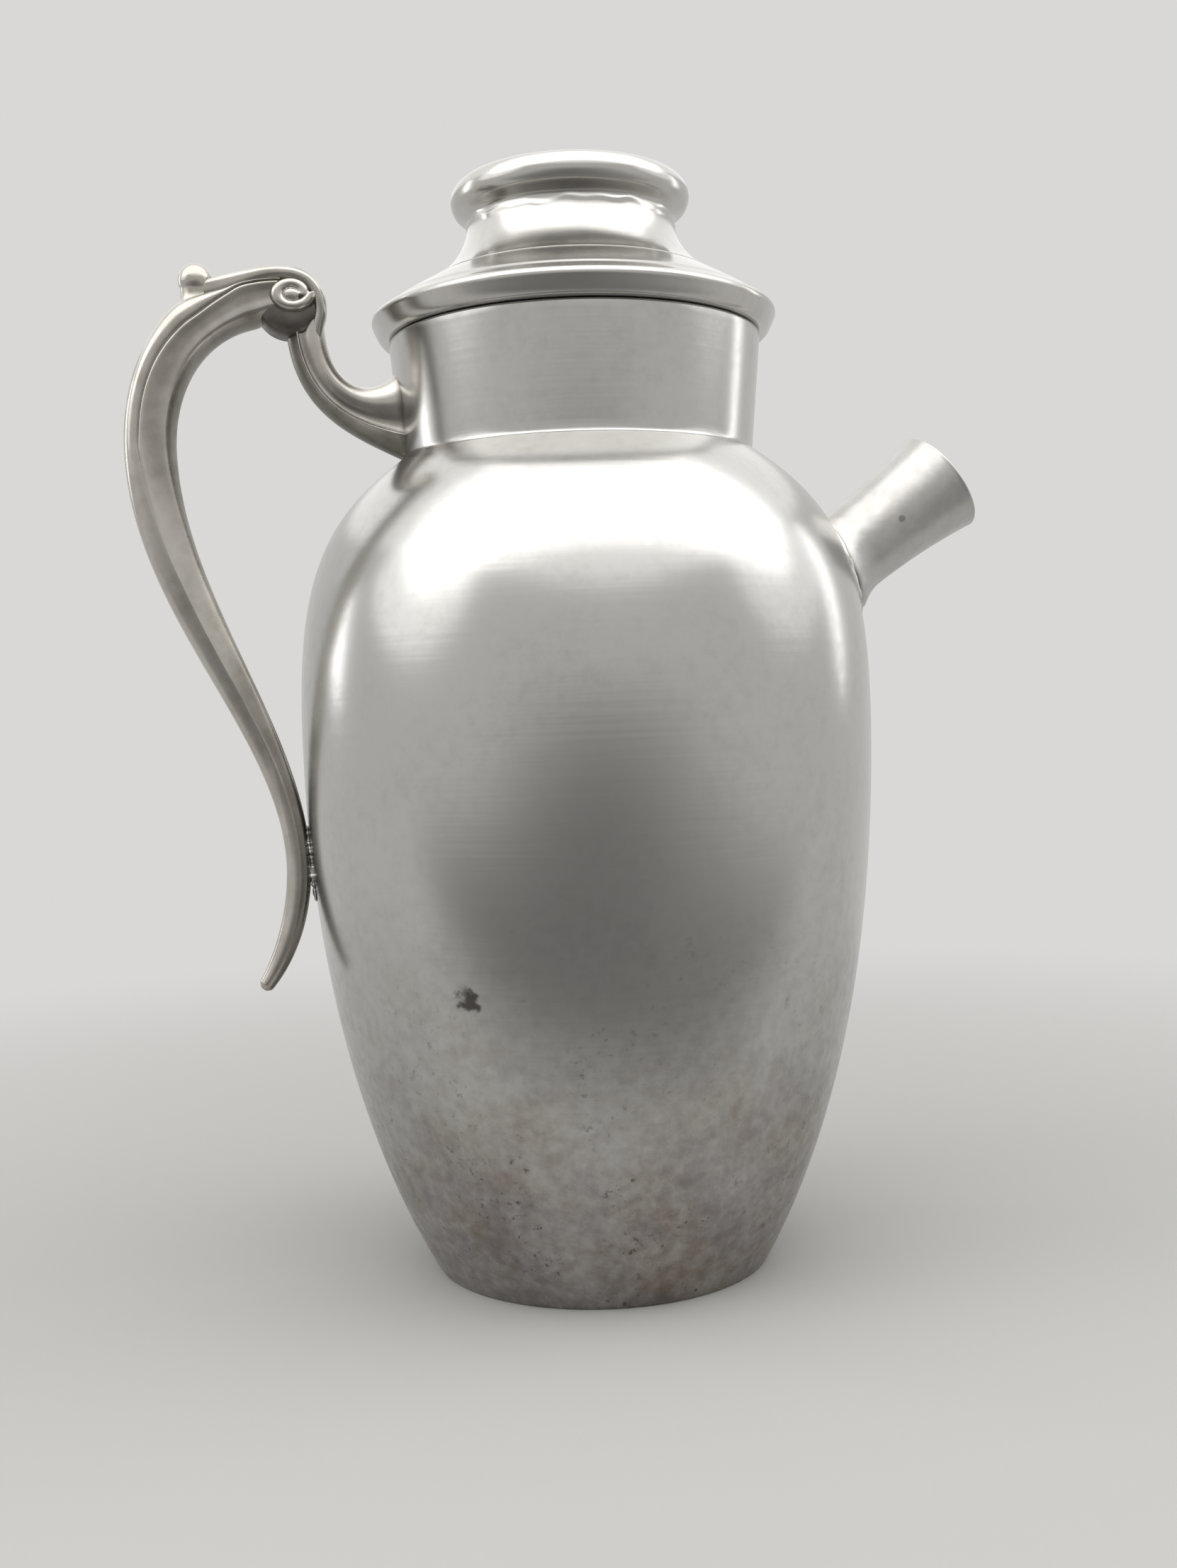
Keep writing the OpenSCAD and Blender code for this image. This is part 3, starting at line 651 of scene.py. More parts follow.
def open_port(quads, first, last, inner_row):
    """Takes the port's cells out of the wall's outside, from its first to its last row, and out of
    the rows behind them on the inside, and joins the two openings by a strip of quads."""
    cell_row, cell_column = np.divmod(np.arange(len(quads)), COLUMNS)
    in_columns = (cell_column < PORT_COLUMNS) | (cell_column >= COLUMNS - PORT_COLUMNS)
    out_cells = (cell_row >= first) & (cell_row < last)
    in_cells = (cell_row >= inner_row[last]) & (cell_row < inner_row[first])
    quads = quads[~(in_columns & (out_cells | in_cells))]
    across = np.arange(-PORT_COLUMNS, PORT_COLUMNS)
    up = np.arange(first, last)
    wide, high = np.ones(len(across), int), np.ones(len(up), int)
    row = np.concatenate([first * wide, up, last * wide, up[::-1] + 1])
    column = np.concatenate([across, PORT_COLUMNS * high, -across, -PORT_COLUMNS * high]) % COLUMNS
    out_loop = row * COLUMNS + column
    in_loop = inner_row[row] * COLUMNS + column
    strip = np.stack([out_loop, np.roll(out_loop, -1), np.roll(in_loop, -1), in_loop], 1)
    return np.vstack([quads, strip])


def base_seat(body):
    """Radius of the wall's inside where the base disc lies: the leaning wall at the height of its
    own thickness, less that thickness measured level."""
    return body.foot_r + body.wall * math.tan(body.foot_lean) - body.wall / math.cos(body.foot_lean)


def foot_line(body):
    """Line of the turned-in foot: in along the seat, round the lip, and back under to the rounded
    edge that the jug stands on."""
    seat_r = base_seat(body)
    half = body.wall / 2
    lip_r = body.foot_r - body.foot_lip + half
    edge = body.foot_round
    return np.vstack([[[seat_r, body.wall]],
                      line([seat_r - 0.5 * MM, body.wall], [lip_r, body.wall]),
                      arc([lip_r, half], half, 90, 270, 9),
                      line([lip_r + 0.3 * MM, 0], [body.foot_r - edge, 0]),
                      arc([body.foot_r - 0.7 * edge, edge], edge, -90, -32, 6)])


def body_wall(body, spout):
    """The spun wall as a closed ring of rows: outside from foot to shoulder, the shoulder edge, the
    inside down again, and the turned-in foot. The port behind the spout is left open."""
    path = wall_line(body)
    run = along_path(path)
    wall_run, wall_turn, turn, first, last = port_grid(body, spout)

    def skin(side, keep):
        """Rows on one side of the sheet: radius and height are read off its line by the distance
        along it, and the slow waves are added to the radius."""
        r = np.interp(wall_run[keep], run, side[:, 0])
        z = np.interp(wall_run[keep], run, side[:, 1])
        t = wall_turn[keep]
        r = r + spun_waves(body, t, z)
        return np.stack([r * np.cos(t), r * np.sin(t), z], -1)

    count = len(wall_run)
    kept = np.arange(2, count - 2)
    outer = skin(path, np.arange(count))
    inner = skin(beside(path, body.wall), kept)[::-1]
    shoulder_in = body.neck_foot_r - body.wall
    top = hoops(np.array([[mix(body.shoulder_r, shoulder_in, 0.5), body.shoulder_z],
                          [shoulder_in, body.shoulder_z]]), turn)
    points = np.vstack([outer, top, inner, hoops(foot_line(body), turn)])
    inner_row = count + len(top) + kept[-1] - np.arange(count)
    quads = open_port(grid_quads(len(points), COLUMNS, True, True), first, last, inner_row)
    used, numbers = np.unique(quads, return_inverse=True)
    return outward(points.reshape(-1, 3)[used], numbers.reshape(-1, 4))


def base_disc(body):
    """Dished disc: a raised cosine from the middle to a flat rim, given its thickness upward."""
    edge = base_seat(body) - HAIR
    bend = 0.3 * MM
    flat = body.foot_r - body.foot_lip - body.base_t
    r = np.linspace(0, flat, 34)
    dish = np.stack([r, body.wall + body.base_rise * (1 + np.cos(np.pi * r / flat)) / 2], 1)
    under = np.vstack([dish, line([flat + 0.5 * MM, body.wall], [edge - bend, body.wall])])
    rim = arc([edge - bend, body.wall + bend], bend, -90, 0, 4)
    rim_top = arc([edge - bend, body.wall + body.base_t - bend], bend, 0, 90, 4)
    return turned(np.vstack([under, rim, rim_top, under[::-1] + [0, body.base_t]]))


def neck_band(body):
    """Ring of the neck: a solder fillet at its foot, the leaning outside, the rounded mouth and the
    inside."""
    foot_z, mouth_z = body.shoulder_z, body.mouth_z
    out_foot = np.array([body.neck_foot_r, foot_z])
    out_mouth = np.array([body.neck_mouth_r, mouth_z])
    reach = body.seam
    on_wall = mix(out_foot, out_mouth, 2.2 * reach / (mouth_z - foot_z))
    fillet = bezier([out_foot + [1.3 * reach, -0.9 * reach],
                     out_foot + [0.45 * reach, -0.1 * reach],
                     out_foot + [0.1 * reach, 0.5 * reach], on_wall], 12)
    bend, small = body.mouth_round, 0.4 * MM
    outside = line(on_wall + [0, 0.2 * MM], [body.neck_mouth_r, mouth_z - bend])
    lip = arc([body.neck_mouth_r - bend, mouth_z - bend], bend, 0, 90, 8)
    in_mouth = body.neck_mouth_r - body.wall
    in_foot = body.neck_foot_r - body.wall
    lip_in = arc([in_mouth + small, mouth_z - small], small, 90, 180, 6)
    inside = line([in_mouth, mouth_z - small - 0.2 * MM], [in_foot, foot_z])
    under = line([in_foot, foot_z], out_foot)
    return turned(np.vstack([fillet, outside, lip, lip_in, inside, under]))


# Spout

SPOUT_COLUMNS = 128

# Depth that the spout's edge sinks into the wall
SINK = 0.15 * MM

# Search on each side of the spout's origin for the wall, and its number of halvings
SEARCH = 9 * MM
HALVINGS = 40

# Run of solder round the root: points along it and round it, and its half width
RUN_POINTS = 260
RUN_COLUMNS = 18
RUN_HALF = 1.7 * MM


def spout_frame(body, spout):
    """Origin of the spout on the wall, its axis, and the two directions across it."""
    origin = np.array([float(wall_radius(body, spout.root_z)), 0, spout.root_z])
    c, s = math.cos(spout.tilt), math.sin(spout.tilt)
    return origin, np.array([c, 0, s]), np.array([-s, 0, c]), np.array([0, 1, 0])


def spout_radius(spout, along):
    """Outer radius: a square law from the waist out to the mouth, and another from the waist to the
    root."""
    out = np.clip((along - spout.waist_at) / (spout.reach - spout.waist_at), 0, None)
    back = np.clip(1 - along / spout.waist_at, 0, 1)
    return (spout.waist_r + (spout.mouth_r - spout.waist_r) * out ** 2
            + (spout.root_r - spout.waist_r) * back ** 2)


def on_spout(axes, along, radius, turn):
    """Point at a distance along the axis, a radius and a turn about it: the radius times the turn's
    cosine goes up, and times its sine goes aside."""
    origin, axis, up, side = axes
    return (origin + along[..., None] * axis + (radius * np.cos(turn))[..., None] * up
            + (radius * np.sin(turn))[..., None] * side)


def root_line(body, axes, radius_at, turn):
    """Where the spout's skin meets the body's wall, found for every turn at once by halving an
    interval."""
    low = np.full(len(turn), -SEARCH)
    high = np.full(len(turn), SEARCH)
    for _ in range(HALVINGS):
        middle = (low + high) / 2
        p = on_spout(axes, middle, radius_at(middle), turn)
        outside = np.hypot(p[:, 0], p[:, 1]) > wall_radius(body, p[:, 2])
        low = np.where(outside, low, middle)
        high = np.where(outside, middle, high)
    return (low + high) / 2


def spout_trumpet(body, spout):
    """The spout as a closed ring of rows: its outside from the wall to the mouth, the rounded lip,
    the bore back to the strainer's ledge, and the seat that widens to the root. Dirt fades out over
    the first millimetres from the wall, and lies on the lower side."""
    axes = spout_frame(body, spout)
    turn = around(SPOUT_COLUMNS)
    seat_r = spout.waist_r - spout.wall + spout.strainer_ledge
    root = root_line(body, axes, lambda s: spout_radius(spout, s), turn) - SINK
    root_in = root_line(body, axes, lambda s: np.full_like(s, seat_r), turn) - SINK
    lip = spout.wall / 2
    out_s = mix(root[None, :], spout.reach - lip, np.linspace(0, 1, 44)[:, None])
    bend = np.radians(np.linspace(0, 180, 11))[1:-1, None]
    lip_s = spout.reach - lip + lip * np.sin(bend)
    lip_r = spout.mouth_r - lip + lip * np.cos(bend)
    bore_s = np.linspace(spout.reach - lip, spout.strainer_at, 30)[:, None]
    bore_r = spout_radius(spout, np.maximum(bore_s, spout.waist_at)) - spout.wall
    every = np.ones(SPOUT_COLUMNS)
    s = np.vstack([out_s, lip_s * every, bore_s * every, spout.strainer_at * every, root_in])
    r = np.vstack([spout_radius(spout, out_s), lip_r * every, bore_r * every,
                   seat_r * every, seat_r * every])
    soil_and_shade = smooth((3.8 * MM - (out_s - root)) / (1.2 * MM)) * smooth(0.6 - 0.8 * np.cos(turn))
    grime_and_shade = np.concatenate([soil_and_shade.ravel(), np.zeros(s.size - soil_and_shade.size)])
    return ring_shell(on_spout(axes, s, r, turn)), grime_and_shade


def lumps(turn, count, seed):
    """Uneven swell round a joint: a sum of sines whose counts share no factor, between about 0 and
    1."""
    return 0.5 + 0.2 * (np.sin(count * turn + seed)
                        + 0.7 * np.sin((2 * count + 3) * turn + 2.3 * seed)
                        + 0.6 * np.sin((3 * count + 7) * turn - 1.7 * seed))


def spout_solder(body, spout):
    """Run of solder on the wall round the spout's root: a low oval of changing height and width,
    carried along a line that keeps a little way outside the line where the spout meets the wall."""
    axes = spout_frame(body, spout)
    turn = around(RUN_POINTS)
    apart = (0.75 + 0.5 * lumps(turn, 3, 0.4)) * MM
    root = root_line(body, axes, lambda s: spout_radius(spout, s) + apart, turn)
    middle = on_spout(axes, root, spout_radius(spout, root) + apart, turn)
    along = unit(np.roll(middle, -1, 0) - np.roll(middle, 1, 0))
    level = middle * [1, 1, 0] / np.hypot(middle[:, 0], middle[:, 1])[:, None]
    out = unit(level + wall_fall(body, middle[:, 2])[:, None] * [0, 0, 1])
    side = unit(np.cross(along, out))
    swell = 0.55 + 0.35 * (1 - np.cos(turn)) / 2
    high = spout.solder * (swell + 0.3 * (lumps(turn, 5, 1.3) - 0.5))[:, None, None]
    wide = (0.8 + 0.4 * lumps(turn, 5, 2.9))[:, None, None] * RUN_HALF
    oval = around(RUN_COLUMNS)[:, None]
    rings = middle[:, None, :] + (high * out[:, None, :] * np.sin(oval)
                                  + wide * side[:, None, :] * np.cos(oval))
    return ring_shell(rings)


# Lid

# Bow of the skirt at each end in degrees, and depth of the step turned into it
BOW = 2.5
STEP_DEPTH = 0.22 * MM

# Where the bead leaves the waist, in degrees below level
BEAD_UNDER = -38

# Height of the ledge for the top disc above the bead's middle, as a share of the bead's radius
LEDGE = 0.2


def lid_land(body, lid):
    """Height of the land that carries the knob, and radius of the opening inside the knob's
    foot."""
    return body.mouth_z + lid.land_up, lid.knob_foot_r - 2 * lid.wall


def lid_ledge(lid):
    """Inner radius of the knob's drum, and height of the ledge in it that carries the top disc."""
    return lid.waist_r - lid.wall, lid.top_z - lid.bead_r + LEDGE * lid.bead_r


def lid_skirt(body, lid):
    """Skirt of the lid: land, bowed slope with a faint turned step, rounded nose, and the roll back
    under to the flat return. The sheet's inside is the same line moved in by its thickness."""
    land_z, inner_r = lid_land(body, lid)
    land = np.array([lid.knob_foot_r + lid.wall / 2, land_z])
    return_r = body.neck_mouth_r + body.mouth_round
    sleeve_r = body.neck_mouth_r - body.wall - lid.sleeve_gap + HAIR
    nose_r = 1.2 * lid.wall
    nose = np.array([lid.rim_r - nose_r, body.mouth_z + lid.rim_up])
    fall = land_z - nose[1] - nose_r * math.cos(math.radians(BOW))
    slope = math.degrees(math.atan2(fall, nose[0] - land[0]))
    skirt_end = nose + nose_r * heading(90 - slope - BOW)
    pull = np.linalg.norm(skirt_end - land) / 3
    skirt = bezier([land, land + pull * heading(BOW - slope),
                    skirt_end - pull * heading(-slope - BOW), skirt_end], 40)
    step = smooth((lid.step_r - skirt[:, :1]) / (0.7 * MM) + 0.5)
    before_nose = smooth((nose[0] + 0.4 * MM - skirt[:, :1]) / (1.5 * MM))
    skirt[:, 1:] += STEP_DEPTH * (step - 1) * before_nose
    round_nose = arc(nose, nose_r, 90 - slope - BOW, -25, 16)[1:]
    start = round_nose[-1]
    roll = bezier([start, start + 0.4 * lid.rim_up * heading(-115),
                   [return_r + 0.5 * (lid.rim_r - return_r), body.mouth_z],
                   [return_r, body.mouth_z]], 18)[1:]
    flat = line([return_r - 0.5 * MM, body.mouth_z], [sleeve_r, body.mouth_z])
    top = np.vstack([line([inner_r, land_z], land), skirt, round_nose, roll, flat,
                     [[sleeve_r, body.mouth_z]]])
    return turned(np.vstack([top, beside(top, -lid.wall)[::-1]]))


def lid_knob(body, lid):
    """Knob of the lid: upright foot edge, cove, waist, and the bead that closes over the ledge of
    the top disc; then down the inside of the drum to the foot."""
    land_z, inner_r = lid_land(body, lid)
    drum_r, seat_z = lid_ledge(lid)
    lip_z = land_z + lid.knob_step
    bead = np.array([lid.waist_r - 0.12 * lid.bead_r, lid.top_z - lid.bead_r])
    waist_z = bead[1] - 1.3 * lid.bead_r
    edge = 0.35 * lid.knob_step
    foot = np.vstack([line([inner_r, land_z], [lid.knob_foot_r, land_z]),
                      arc([lid.knob_foot_r - edge, lip_z - edge], edge, 0, 70, 5)])
    cove = bezier([[lid.knob_foot_r - edge, lip_z],
                   [mix(lid.knob_foot_r, lid.waist_r, 0.52), mix(lip_z, waist_z, 0.19)],
                   [lid.waist_r, mix(lip_z, waist_z, 0.59)], [lid.waist_r, waist_z]], 44)
    bead_under = bead + lid.bead_r * heading(BEAD_UNDER)
    waist = bezier([[lid.waist_r, waist_z], [lid.waist_r, waist_z + 0.3 * lid.bead_r],
                    bead_under - 0.3 * lid.bead_r * heading(90 + BEAD_UNDER), bead_under], 16)[1:-1]
    cut_r = drum_r + HAIR
    bead_over = math.degrees(math.acos((cut_r - bead[0]) / lid.bead_r))
    round_top = arc(bead, lid.bead_r, BEAD_UNDER, bead_over, 40)
    cut = line([cut_r, round_top[-1, 1] - 0.2 * MM], [cut_r, seat_z])
    ledge_from = 180 - math.degrees(math.asin(LEDGE))
    ledge_to = 360 - math.degrees(math.acos((drum_r - bead[0]) / lid.bead_r))
    ledge = arc(bead, lid.bead_r, ledge_from, ledge_to, 16)
    inside = beside(cove, lid.wall)[::-1]
    inside = inside[inside[:, 1] > lip_z]

    def seam(turn, z):
        """Thin wavering ridge where the bead was soldered on, a bell curve of the height over a
        wavy line, and the slow waves of the spun cove below it."""
        middle = waist_z + (2.2 * (lumps(turn, 4, 0.9) - 0.5) - 0.9) * MM
        ridge = 0.3 * MM * lumps(turn, 5, 2.2) * np.exp(-((z - middle) / (0.5 * MM)) ** 2)
        waves = 0.05 * MM * np.sin(7 * turn + z / (1.6 * MM)) * np.sin(3 * turn - z / (4 * MM))
        return ridge + waves * smooth((z - lip_z) / (3 * MM)) * smooth((bead[1] - z) / (3 * MM))

    return turned(np.vstack([foot, cove, waist, round_top, cut, line([cut_r, seat_z], ledge[0]),
                             ledge, inside, [[inner_r, lip_z]]]), seam)


def lid_crown(lid):
    """Top disc: a shallow dome that falls with the square of the radius to a flat rim on the bead's
    ledge."""
    drum_r, seat_z = lid_ledge(lid)
    seat_r = drum_r - 0.3 * lid.bead_r
    r = np.linspace(0, seat_r, 30)
    dome = np.stack([r, seat_z + lid.top_rise * (1 - (r / seat_r) ** 2)], 1)
    rim = line([seat_r + 0.4 * MM, seat_z], [drum_r, seat_z], 0.4 * MM)
    under = np.vstack([dome, rim, [[drum_r, seat_z]]])
    return turned(np.vstack([under, under[::-1] + [0, lid.wall]]))


def lid_sleeve(body, lid):
    """Tapered sleeve in the neck with the flange that lies on the skirt's flat return. Its taper
    follows the neck's inside."""
    foot_z = body.mouth_z - lid.sleeve_depth
    share = (foot_z - body.shoulder_z) / (body.mouth_z - body.shoulder_z)
    foot_r = mix(body.neck_foot_r, body.neck_mouth_r, share) - body.wall - lid.sleeve_gap + HAIR
    mouth_r = body.neck_mouth_r - body.wall - lid.sleeve_gap
    wall = lid.sleeve_wall
    half = wall / 2
    low_z = foot_z + half + 0.3 * MM
    top_z = body.mouth_z + lid.wall
    rim_r = body.neck_mouth_r + body.mouth_round - lid.wall - half
    return turned(np.vstack([arc([foot_r - half, foot_z + half], half, 180, 360, 9),
                             line([foot_r, low_z], [mouth_r, body.mouth_z]),
                             line([mouth_r, body.mouth_z], [mouth_r, top_z], 0.4 * MM),
                             line([mouth_r, top_z], [rim_r, top_z]),
                             arc([rim_r, top_z + half], half, -90, 90, 9),
                             line([rim_r - 0.3 * MM, top_z + wall], [mouth_r - wall, top_z + wall]),
                             line([mouth_r - wall, top_z + wall], [foot_r - wall, low_z])]))


# Handle

# Half sections from the outer to the inner edge: share of depth, share of half width, darkening.
# The darkening is dark oxide in the grooves, and painted shade on the faces, the inner bevels and
# the arm's lower lobe.
# The bead's depths are shares of the bead, and the face's are shares of the rest.
BEAD = [(0, 0, 0), (0.03, 0.33, 0), (0.13, 0.62, 0), (0.32, 0.84, 0), (0.56, 0.945, 0),
        (0.78, 0.955, 0.05), (0.92, 0.935, 0.2), (0.99, 0.905, 0.35)]
FACE = [(0.005, 0.90, 0.35), (0.025, 0.925, 0.2), (0.05, 0.955, 0.05), (0.08, 0.965, 0.0),
        (0.14, 0.945, 0.2), (0.28, 0.90, 0.35), (0.45, 0.885, 0.38), (0.60, 0.90, 0.25),
        (0.68, 0.895, 0.12), (0.76, 0.82, 0.3), (0.86, 0.63, 0.45), (0.94, 0.38, 0.5),
        (0.985, 0.17, 0.5), (1.0, 0.0, 0.5)]
RIDGE_OUT = [(0, 0, 0), (0.03, 0.36, 0), (0.12, 0.56, 0), (0.3, 0.71, 0), (0.55, 0.84, 0.1),
             (0.8, 0.94, 0.2), (0.95, 0.99, 0.05), (1.0, 1.0, 0)]
RIDGE_IN = [(0.01, 1.0, 0), (0.05, 0.98, 0), (0.2, 0.90, 0), (0.45, 0.77, 0), (0.7, 0.63, 0.05),
            (0.85, 0.52, 0.15), (0.94, 0.38, 0.3), (0.985, 0.18, 0.4), (1, 0, 0.4)]
ARM = [(0, 0, 0.6), (0.01, 0.18, 0.6), (0.04, 0.34, 0.6), (0.10, 0.52, 0.55), (0.17, 0.69, 0.4),
       (0.22, 0.82, 0.1), (0.245, 0.88, 0.0), (0.265, 0.88, 0.0), (0.29, 0.81, 0.2),
       (0.34, 0.75, 0.45), (0.40, 0.735, 0.5), (0.46, 0.78, 0.4), (0.53, 0.88, 0.15),
       (0.62, 0.965, 0.0), (0.72, 0.975, 0.0), (0.82, 0.89, 0.0), (0.91, 0.68, 0.0),
       (0.97, 0.40, 0.0), (0.995, 0.15, 0.0), (1.0, 0.0, 0.0)]

# Points along the arch, the back of the grip, the tail and the arm
ARCH_POINTS = 110
BACK_POINTS = 150
TAIL_POINTS = 90
ARM_POINTS = 120

# Points across half a section: the bead, the face and the arm
BEAD_POINTS = 22
FACE_POINTS = 40
ARM_COLUMNS = 60

# Bead's share of the section below the arch: height in millimetres and share
BEAD_HEIGHT = [120, 136, 148, 165, 183, 196]
BEAD_SHARE = [0.60, 0.50, 0.46, 0.44, 0.38, 0.29]


def full_ring(depth, half, grime_and_shade):
    """Both sides of a half section: down one side and back up its mirror image."""
    return (np.hstack([depth, depth[:, -2:0:-1]]), np.hstack([half, -half[:, -2:0:-1]]),
            np.hstack([grime_and_shade, grime_and_shade[:, -2:0:-1]]))


def carried(path, depth, half):
    """Carries rings along a path in the plane of the handle. Depth is measured from the path toward
    the outside, which is the path's direction turned a quarter to the right; half is across that
    plane."""
    d = unit(np.gradient(path, axis=0))
    x = path[:, :1] + depth * d[:, 1:]
    z = path[:, 1:] - depth * d[:, :1]
    return np.stack([x, half, z], -1)


def grip_path(handle):
    """Middle line of arch, grip and tail, three cubic curves end to end, with the thickness and the
    width along it. Both ease from place to place, and fall to the tip with the power 2.5 of the
    way."""
    volute, grip = np.array(handle.volute), np.array(handle.grip)
    lug, tip = np.array(handle.lug), np.array(handle.tip)
    start = volute + np.array([-0.25, 0.2]) * handle.volute_r
    span = start - grip
    fall = grip[1] - lug[1]
    drop = lug - tip
    arch = bezier([start, start - [0.66 * span[0], 0], grip + [0, 0.52 * span[1]], grip],
                  ARCH_POINTS)
    back = bezier([grip, grip - [0, 0.37 * fall], lug + [0, 0.33 * fall], lug], BACK_POINTS)
    tail = bezier([lug, lug - [0, 0.38 * drop[1]], tip + [0.6 * drop[0], 0.25 * drop[1]], tip],
                  TAIL_POINTS)
    path = np.vstack([arch, back[1:], tail[1:]])
    over = smooth(np.linspace(0, 1, ARCH_POINTS))
    down = smooth(np.linspace(0, 1, BACK_POINTS)[1:])
    out = np.linspace(0, 1, TAIL_POINTS)[1:] ** 2.5
    thick = np.concatenate([mix(handle.arch_t, handle.grip_t, over),
                            mix(handle.grip_t, handle.low_t, down),
                            mix(handle.low_t, handle.tip_t, out)])
    wide = np.concatenate([mix(handle.volute_w, handle.grip_w, over),
                           mix(handle.grip_w, handle.low_w, down),
                           mix(handle.low_w, handle.tip_t, out)])
    # The tail ends in a blunt cut with a rounded edge
    gone = along_path(path)
    left = (gone[-1] - gone) / (0.35 * handle.tip_t)
    blunt = np.sqrt(1 - np.clip(1 - left, 0, 0.86) ** 2)
    return path, thick * blunt, wide * blunt


def grip_shell(handle):
    """Arch, grip and tail: one section carried down the middle line. On the arch its outer part is
    a bead and its inner part a hollowed face with a bevelled edge; down the grip they turn into two
    flats that meet at a ridge, and at the lower joint into a plain oval."""
    path, thick, wide = grip_path(handle)
    on_arch = np.arange(len(path)) < ARCH_POINTS
    # Places in millimetres out from the jug's axis and up from its foot
    x, z = -path[:, 0] / MM, path[:, 1] / MM
    over = 0.08 + 0.32 * smooth((x - 77) / 12) - 0.11 * smooth((x - 88) / 12)
    bead = np.where(on_arch, over, np.interp(z, BEAD_HEIGHT, BEAD_SHARE))[:, None]
    carved = smooth((z - 106) / 34)[:, None]
    ridged = smooth((204 - z) / 36)[:, None, None]
    outer = mix(spline(BEAD, BEAD_POINTS), spline(RIDGE_OUT, BEAD_POINTS), ridged)
    face = mix(spline(FACE, FACE_POINTS), spline(RIDGE_IN, FACE_POINTS), ridged)
    depth = np.hstack([outer[..., 0] * bead, bead + face[..., 0] * (1 - bead)])
    half = np.hstack([outer[..., 1], face[..., 1]])
    grime_and_shade = np.hstack([outer[..., 2], face[..., 2]])
    oval = np.linspace(0, np.pi, depth.shape[1])
    depth = mix((1 - np.cos(oval)) / 2, depth, carved)
    half = mix(np.sin(oval), half, carved)
    # On the plain oval below, the inner flank takes painted shade
    grime_and_shade = mix(0.35 * smooth((oval / np.pi - 0.45) / 0.4), grime_and_shade, carved)
    depth, half, grime_and_shade = full_ring(depth, half, grime_and_shade)
    # Under the tongue the outer side stays low, so that the tongue lies on it
    outer_side = thick / 2 * np.where(on_arch, mix(0.5, 1, smooth((x - 80) / 11)), 1)
    inner_side = thick / 2 * np.where(on_arch, mix(0.8, 1, smooth((x - 69.5) / 8)), 1)
    offset = outer_side[:, None] - (outer_side + inner_side)[:, None] * depth
    rings = carried(path, offset, wide[:, None] / 2 * half)
    return tube(rings), np.concatenate([grime_and_shade.ravel(), [0.6, 0.2]])


def arm_shell(body, handle):
    """Arm from the volute to the neck: a section of two rounded lobes with a groove between them,
    which grows thicker toward the root with the fifth power of the way along, and wider with the
    sixth."""
    volute, root = np.array(handle.volute), np.array(handle.root)
    start = volute + np.array([0.42, -0.5]) * handle.volute_r
    span = root - start
    path = bezier([start, start + [0, 0.62 * span[1]], root - [0.66 * span[0], -0.06 * span[1]],
                   root + [body.wall, 0]], ARM_POINTS)
    # The first rows lie hidden in the drum and start small
    lead = line(start + [0, 0.45 * handle.volute_r], start, 0.25 * MM)
    path = np.vstack([lead, path])
    t = np.concatenate([np.zeros(len(lead)), np.linspace(0, 1, ARM_POINTS)])
    hidden = mix(0.6, 1, smooth(np.arange(len(path)) / len(lead)))
    thick = hidden * (handle.arm_t + (handle.root_h - handle.arm_t) * t ** 5)
    wide = hidden * handle.arm_w * (1 + 0.25 * t ** 6)
    section = np.broadcast_to(spline(ARM, ARM_COLUMNS), (len(path), ARM_COLUMNS, 3))
    depth, half, grime_and_shade = full_ring(section[..., 0], section[..., 1], section[..., 2])
    rings = carried(path, thick[:, None] * (0.5 - depth), wide[:, None] / 2 * half)
    joint = 0.7 * smooth((t - 0.93) / 0.05)[:, None]
    return tube(rings), np.concatenate([np.maximum(grime_and_shade, joint).ravel(), [0.5, 0.5]])


# Rim from the thumb ball over the volute into the arm, in millimetres: out, up, thickness, width
RIM_BAND = [(-89.2, 233.4, 3.4, 4.4), (-86.3, 233.7, 3.6, 5.8), (-81.8, 234.5, 3.8, 8.8),
            (-77.2, 235.5, 3.5, 11.4), (-73.0, 236.35, 3.1, 12.7), (-69.5, 236.6, 2.9, 13.1),
            (-66.3, 236.3, 2.8, 13.1), (-63.5, 235.1, 2.8, 13.0), (-61.5, 232.9, 2.8, 12.8),
            (-60.5, 230.3, 2.8, 12.4), (-60.35, 227.6, 2.7, 11.4), (-61.0, 224.9, 2.5, 10.2),
            (-61.5, 222.0, 2.3, 8.8), (-61.7, 219.5, 2.0, 7.4), (-61.5, 217.0, 1.6, 6.0)]

# Depth of the rim's underside against its upper side, so that it reaches the drum and the arch
RIM_UNDER = 1.65


def rim_shell():
    """Tongue and rim: a flat rounded section, a circle whose cosine and sine are raised to powers
    below 1, carried from the thumb ball over the top of the volute and down its side into the
    arm."""
    run = spline(RIM_BAND, 150) * MM
    turn = around(48)
    across, high = np.cos(turn), np.sin(turn)
    half = run[:, 3:] / 2 * np.sign(across) * np.abs(across) ** 0.55
    depth = run[:, 2:3] / 2 * np.where(high < 0, RIM_UNDER, 1) * np.sign(high) * np.abs(high) ** 0.8
    # Painted shade on the rim's underside, where it lies on the drum and the arch
    grime_and_shade = np.broadcast_to(0.5 * smooth((-high - 0.2) / 0.7), half.shape)
    # The path runs to the right here, so the outside is on its left
    return tube(carried(run[:, :2], -depth, half)), np.concatenate([grime_and_shade.ravel(), [0.3, 0.3]])


# Scroll on the volute: its middle from the volute's in millimetres, and how far it is drawn wide
SCROLL_MIDDLE = (0.35, 1.0)
SCROLL_STRETCH = 1.13

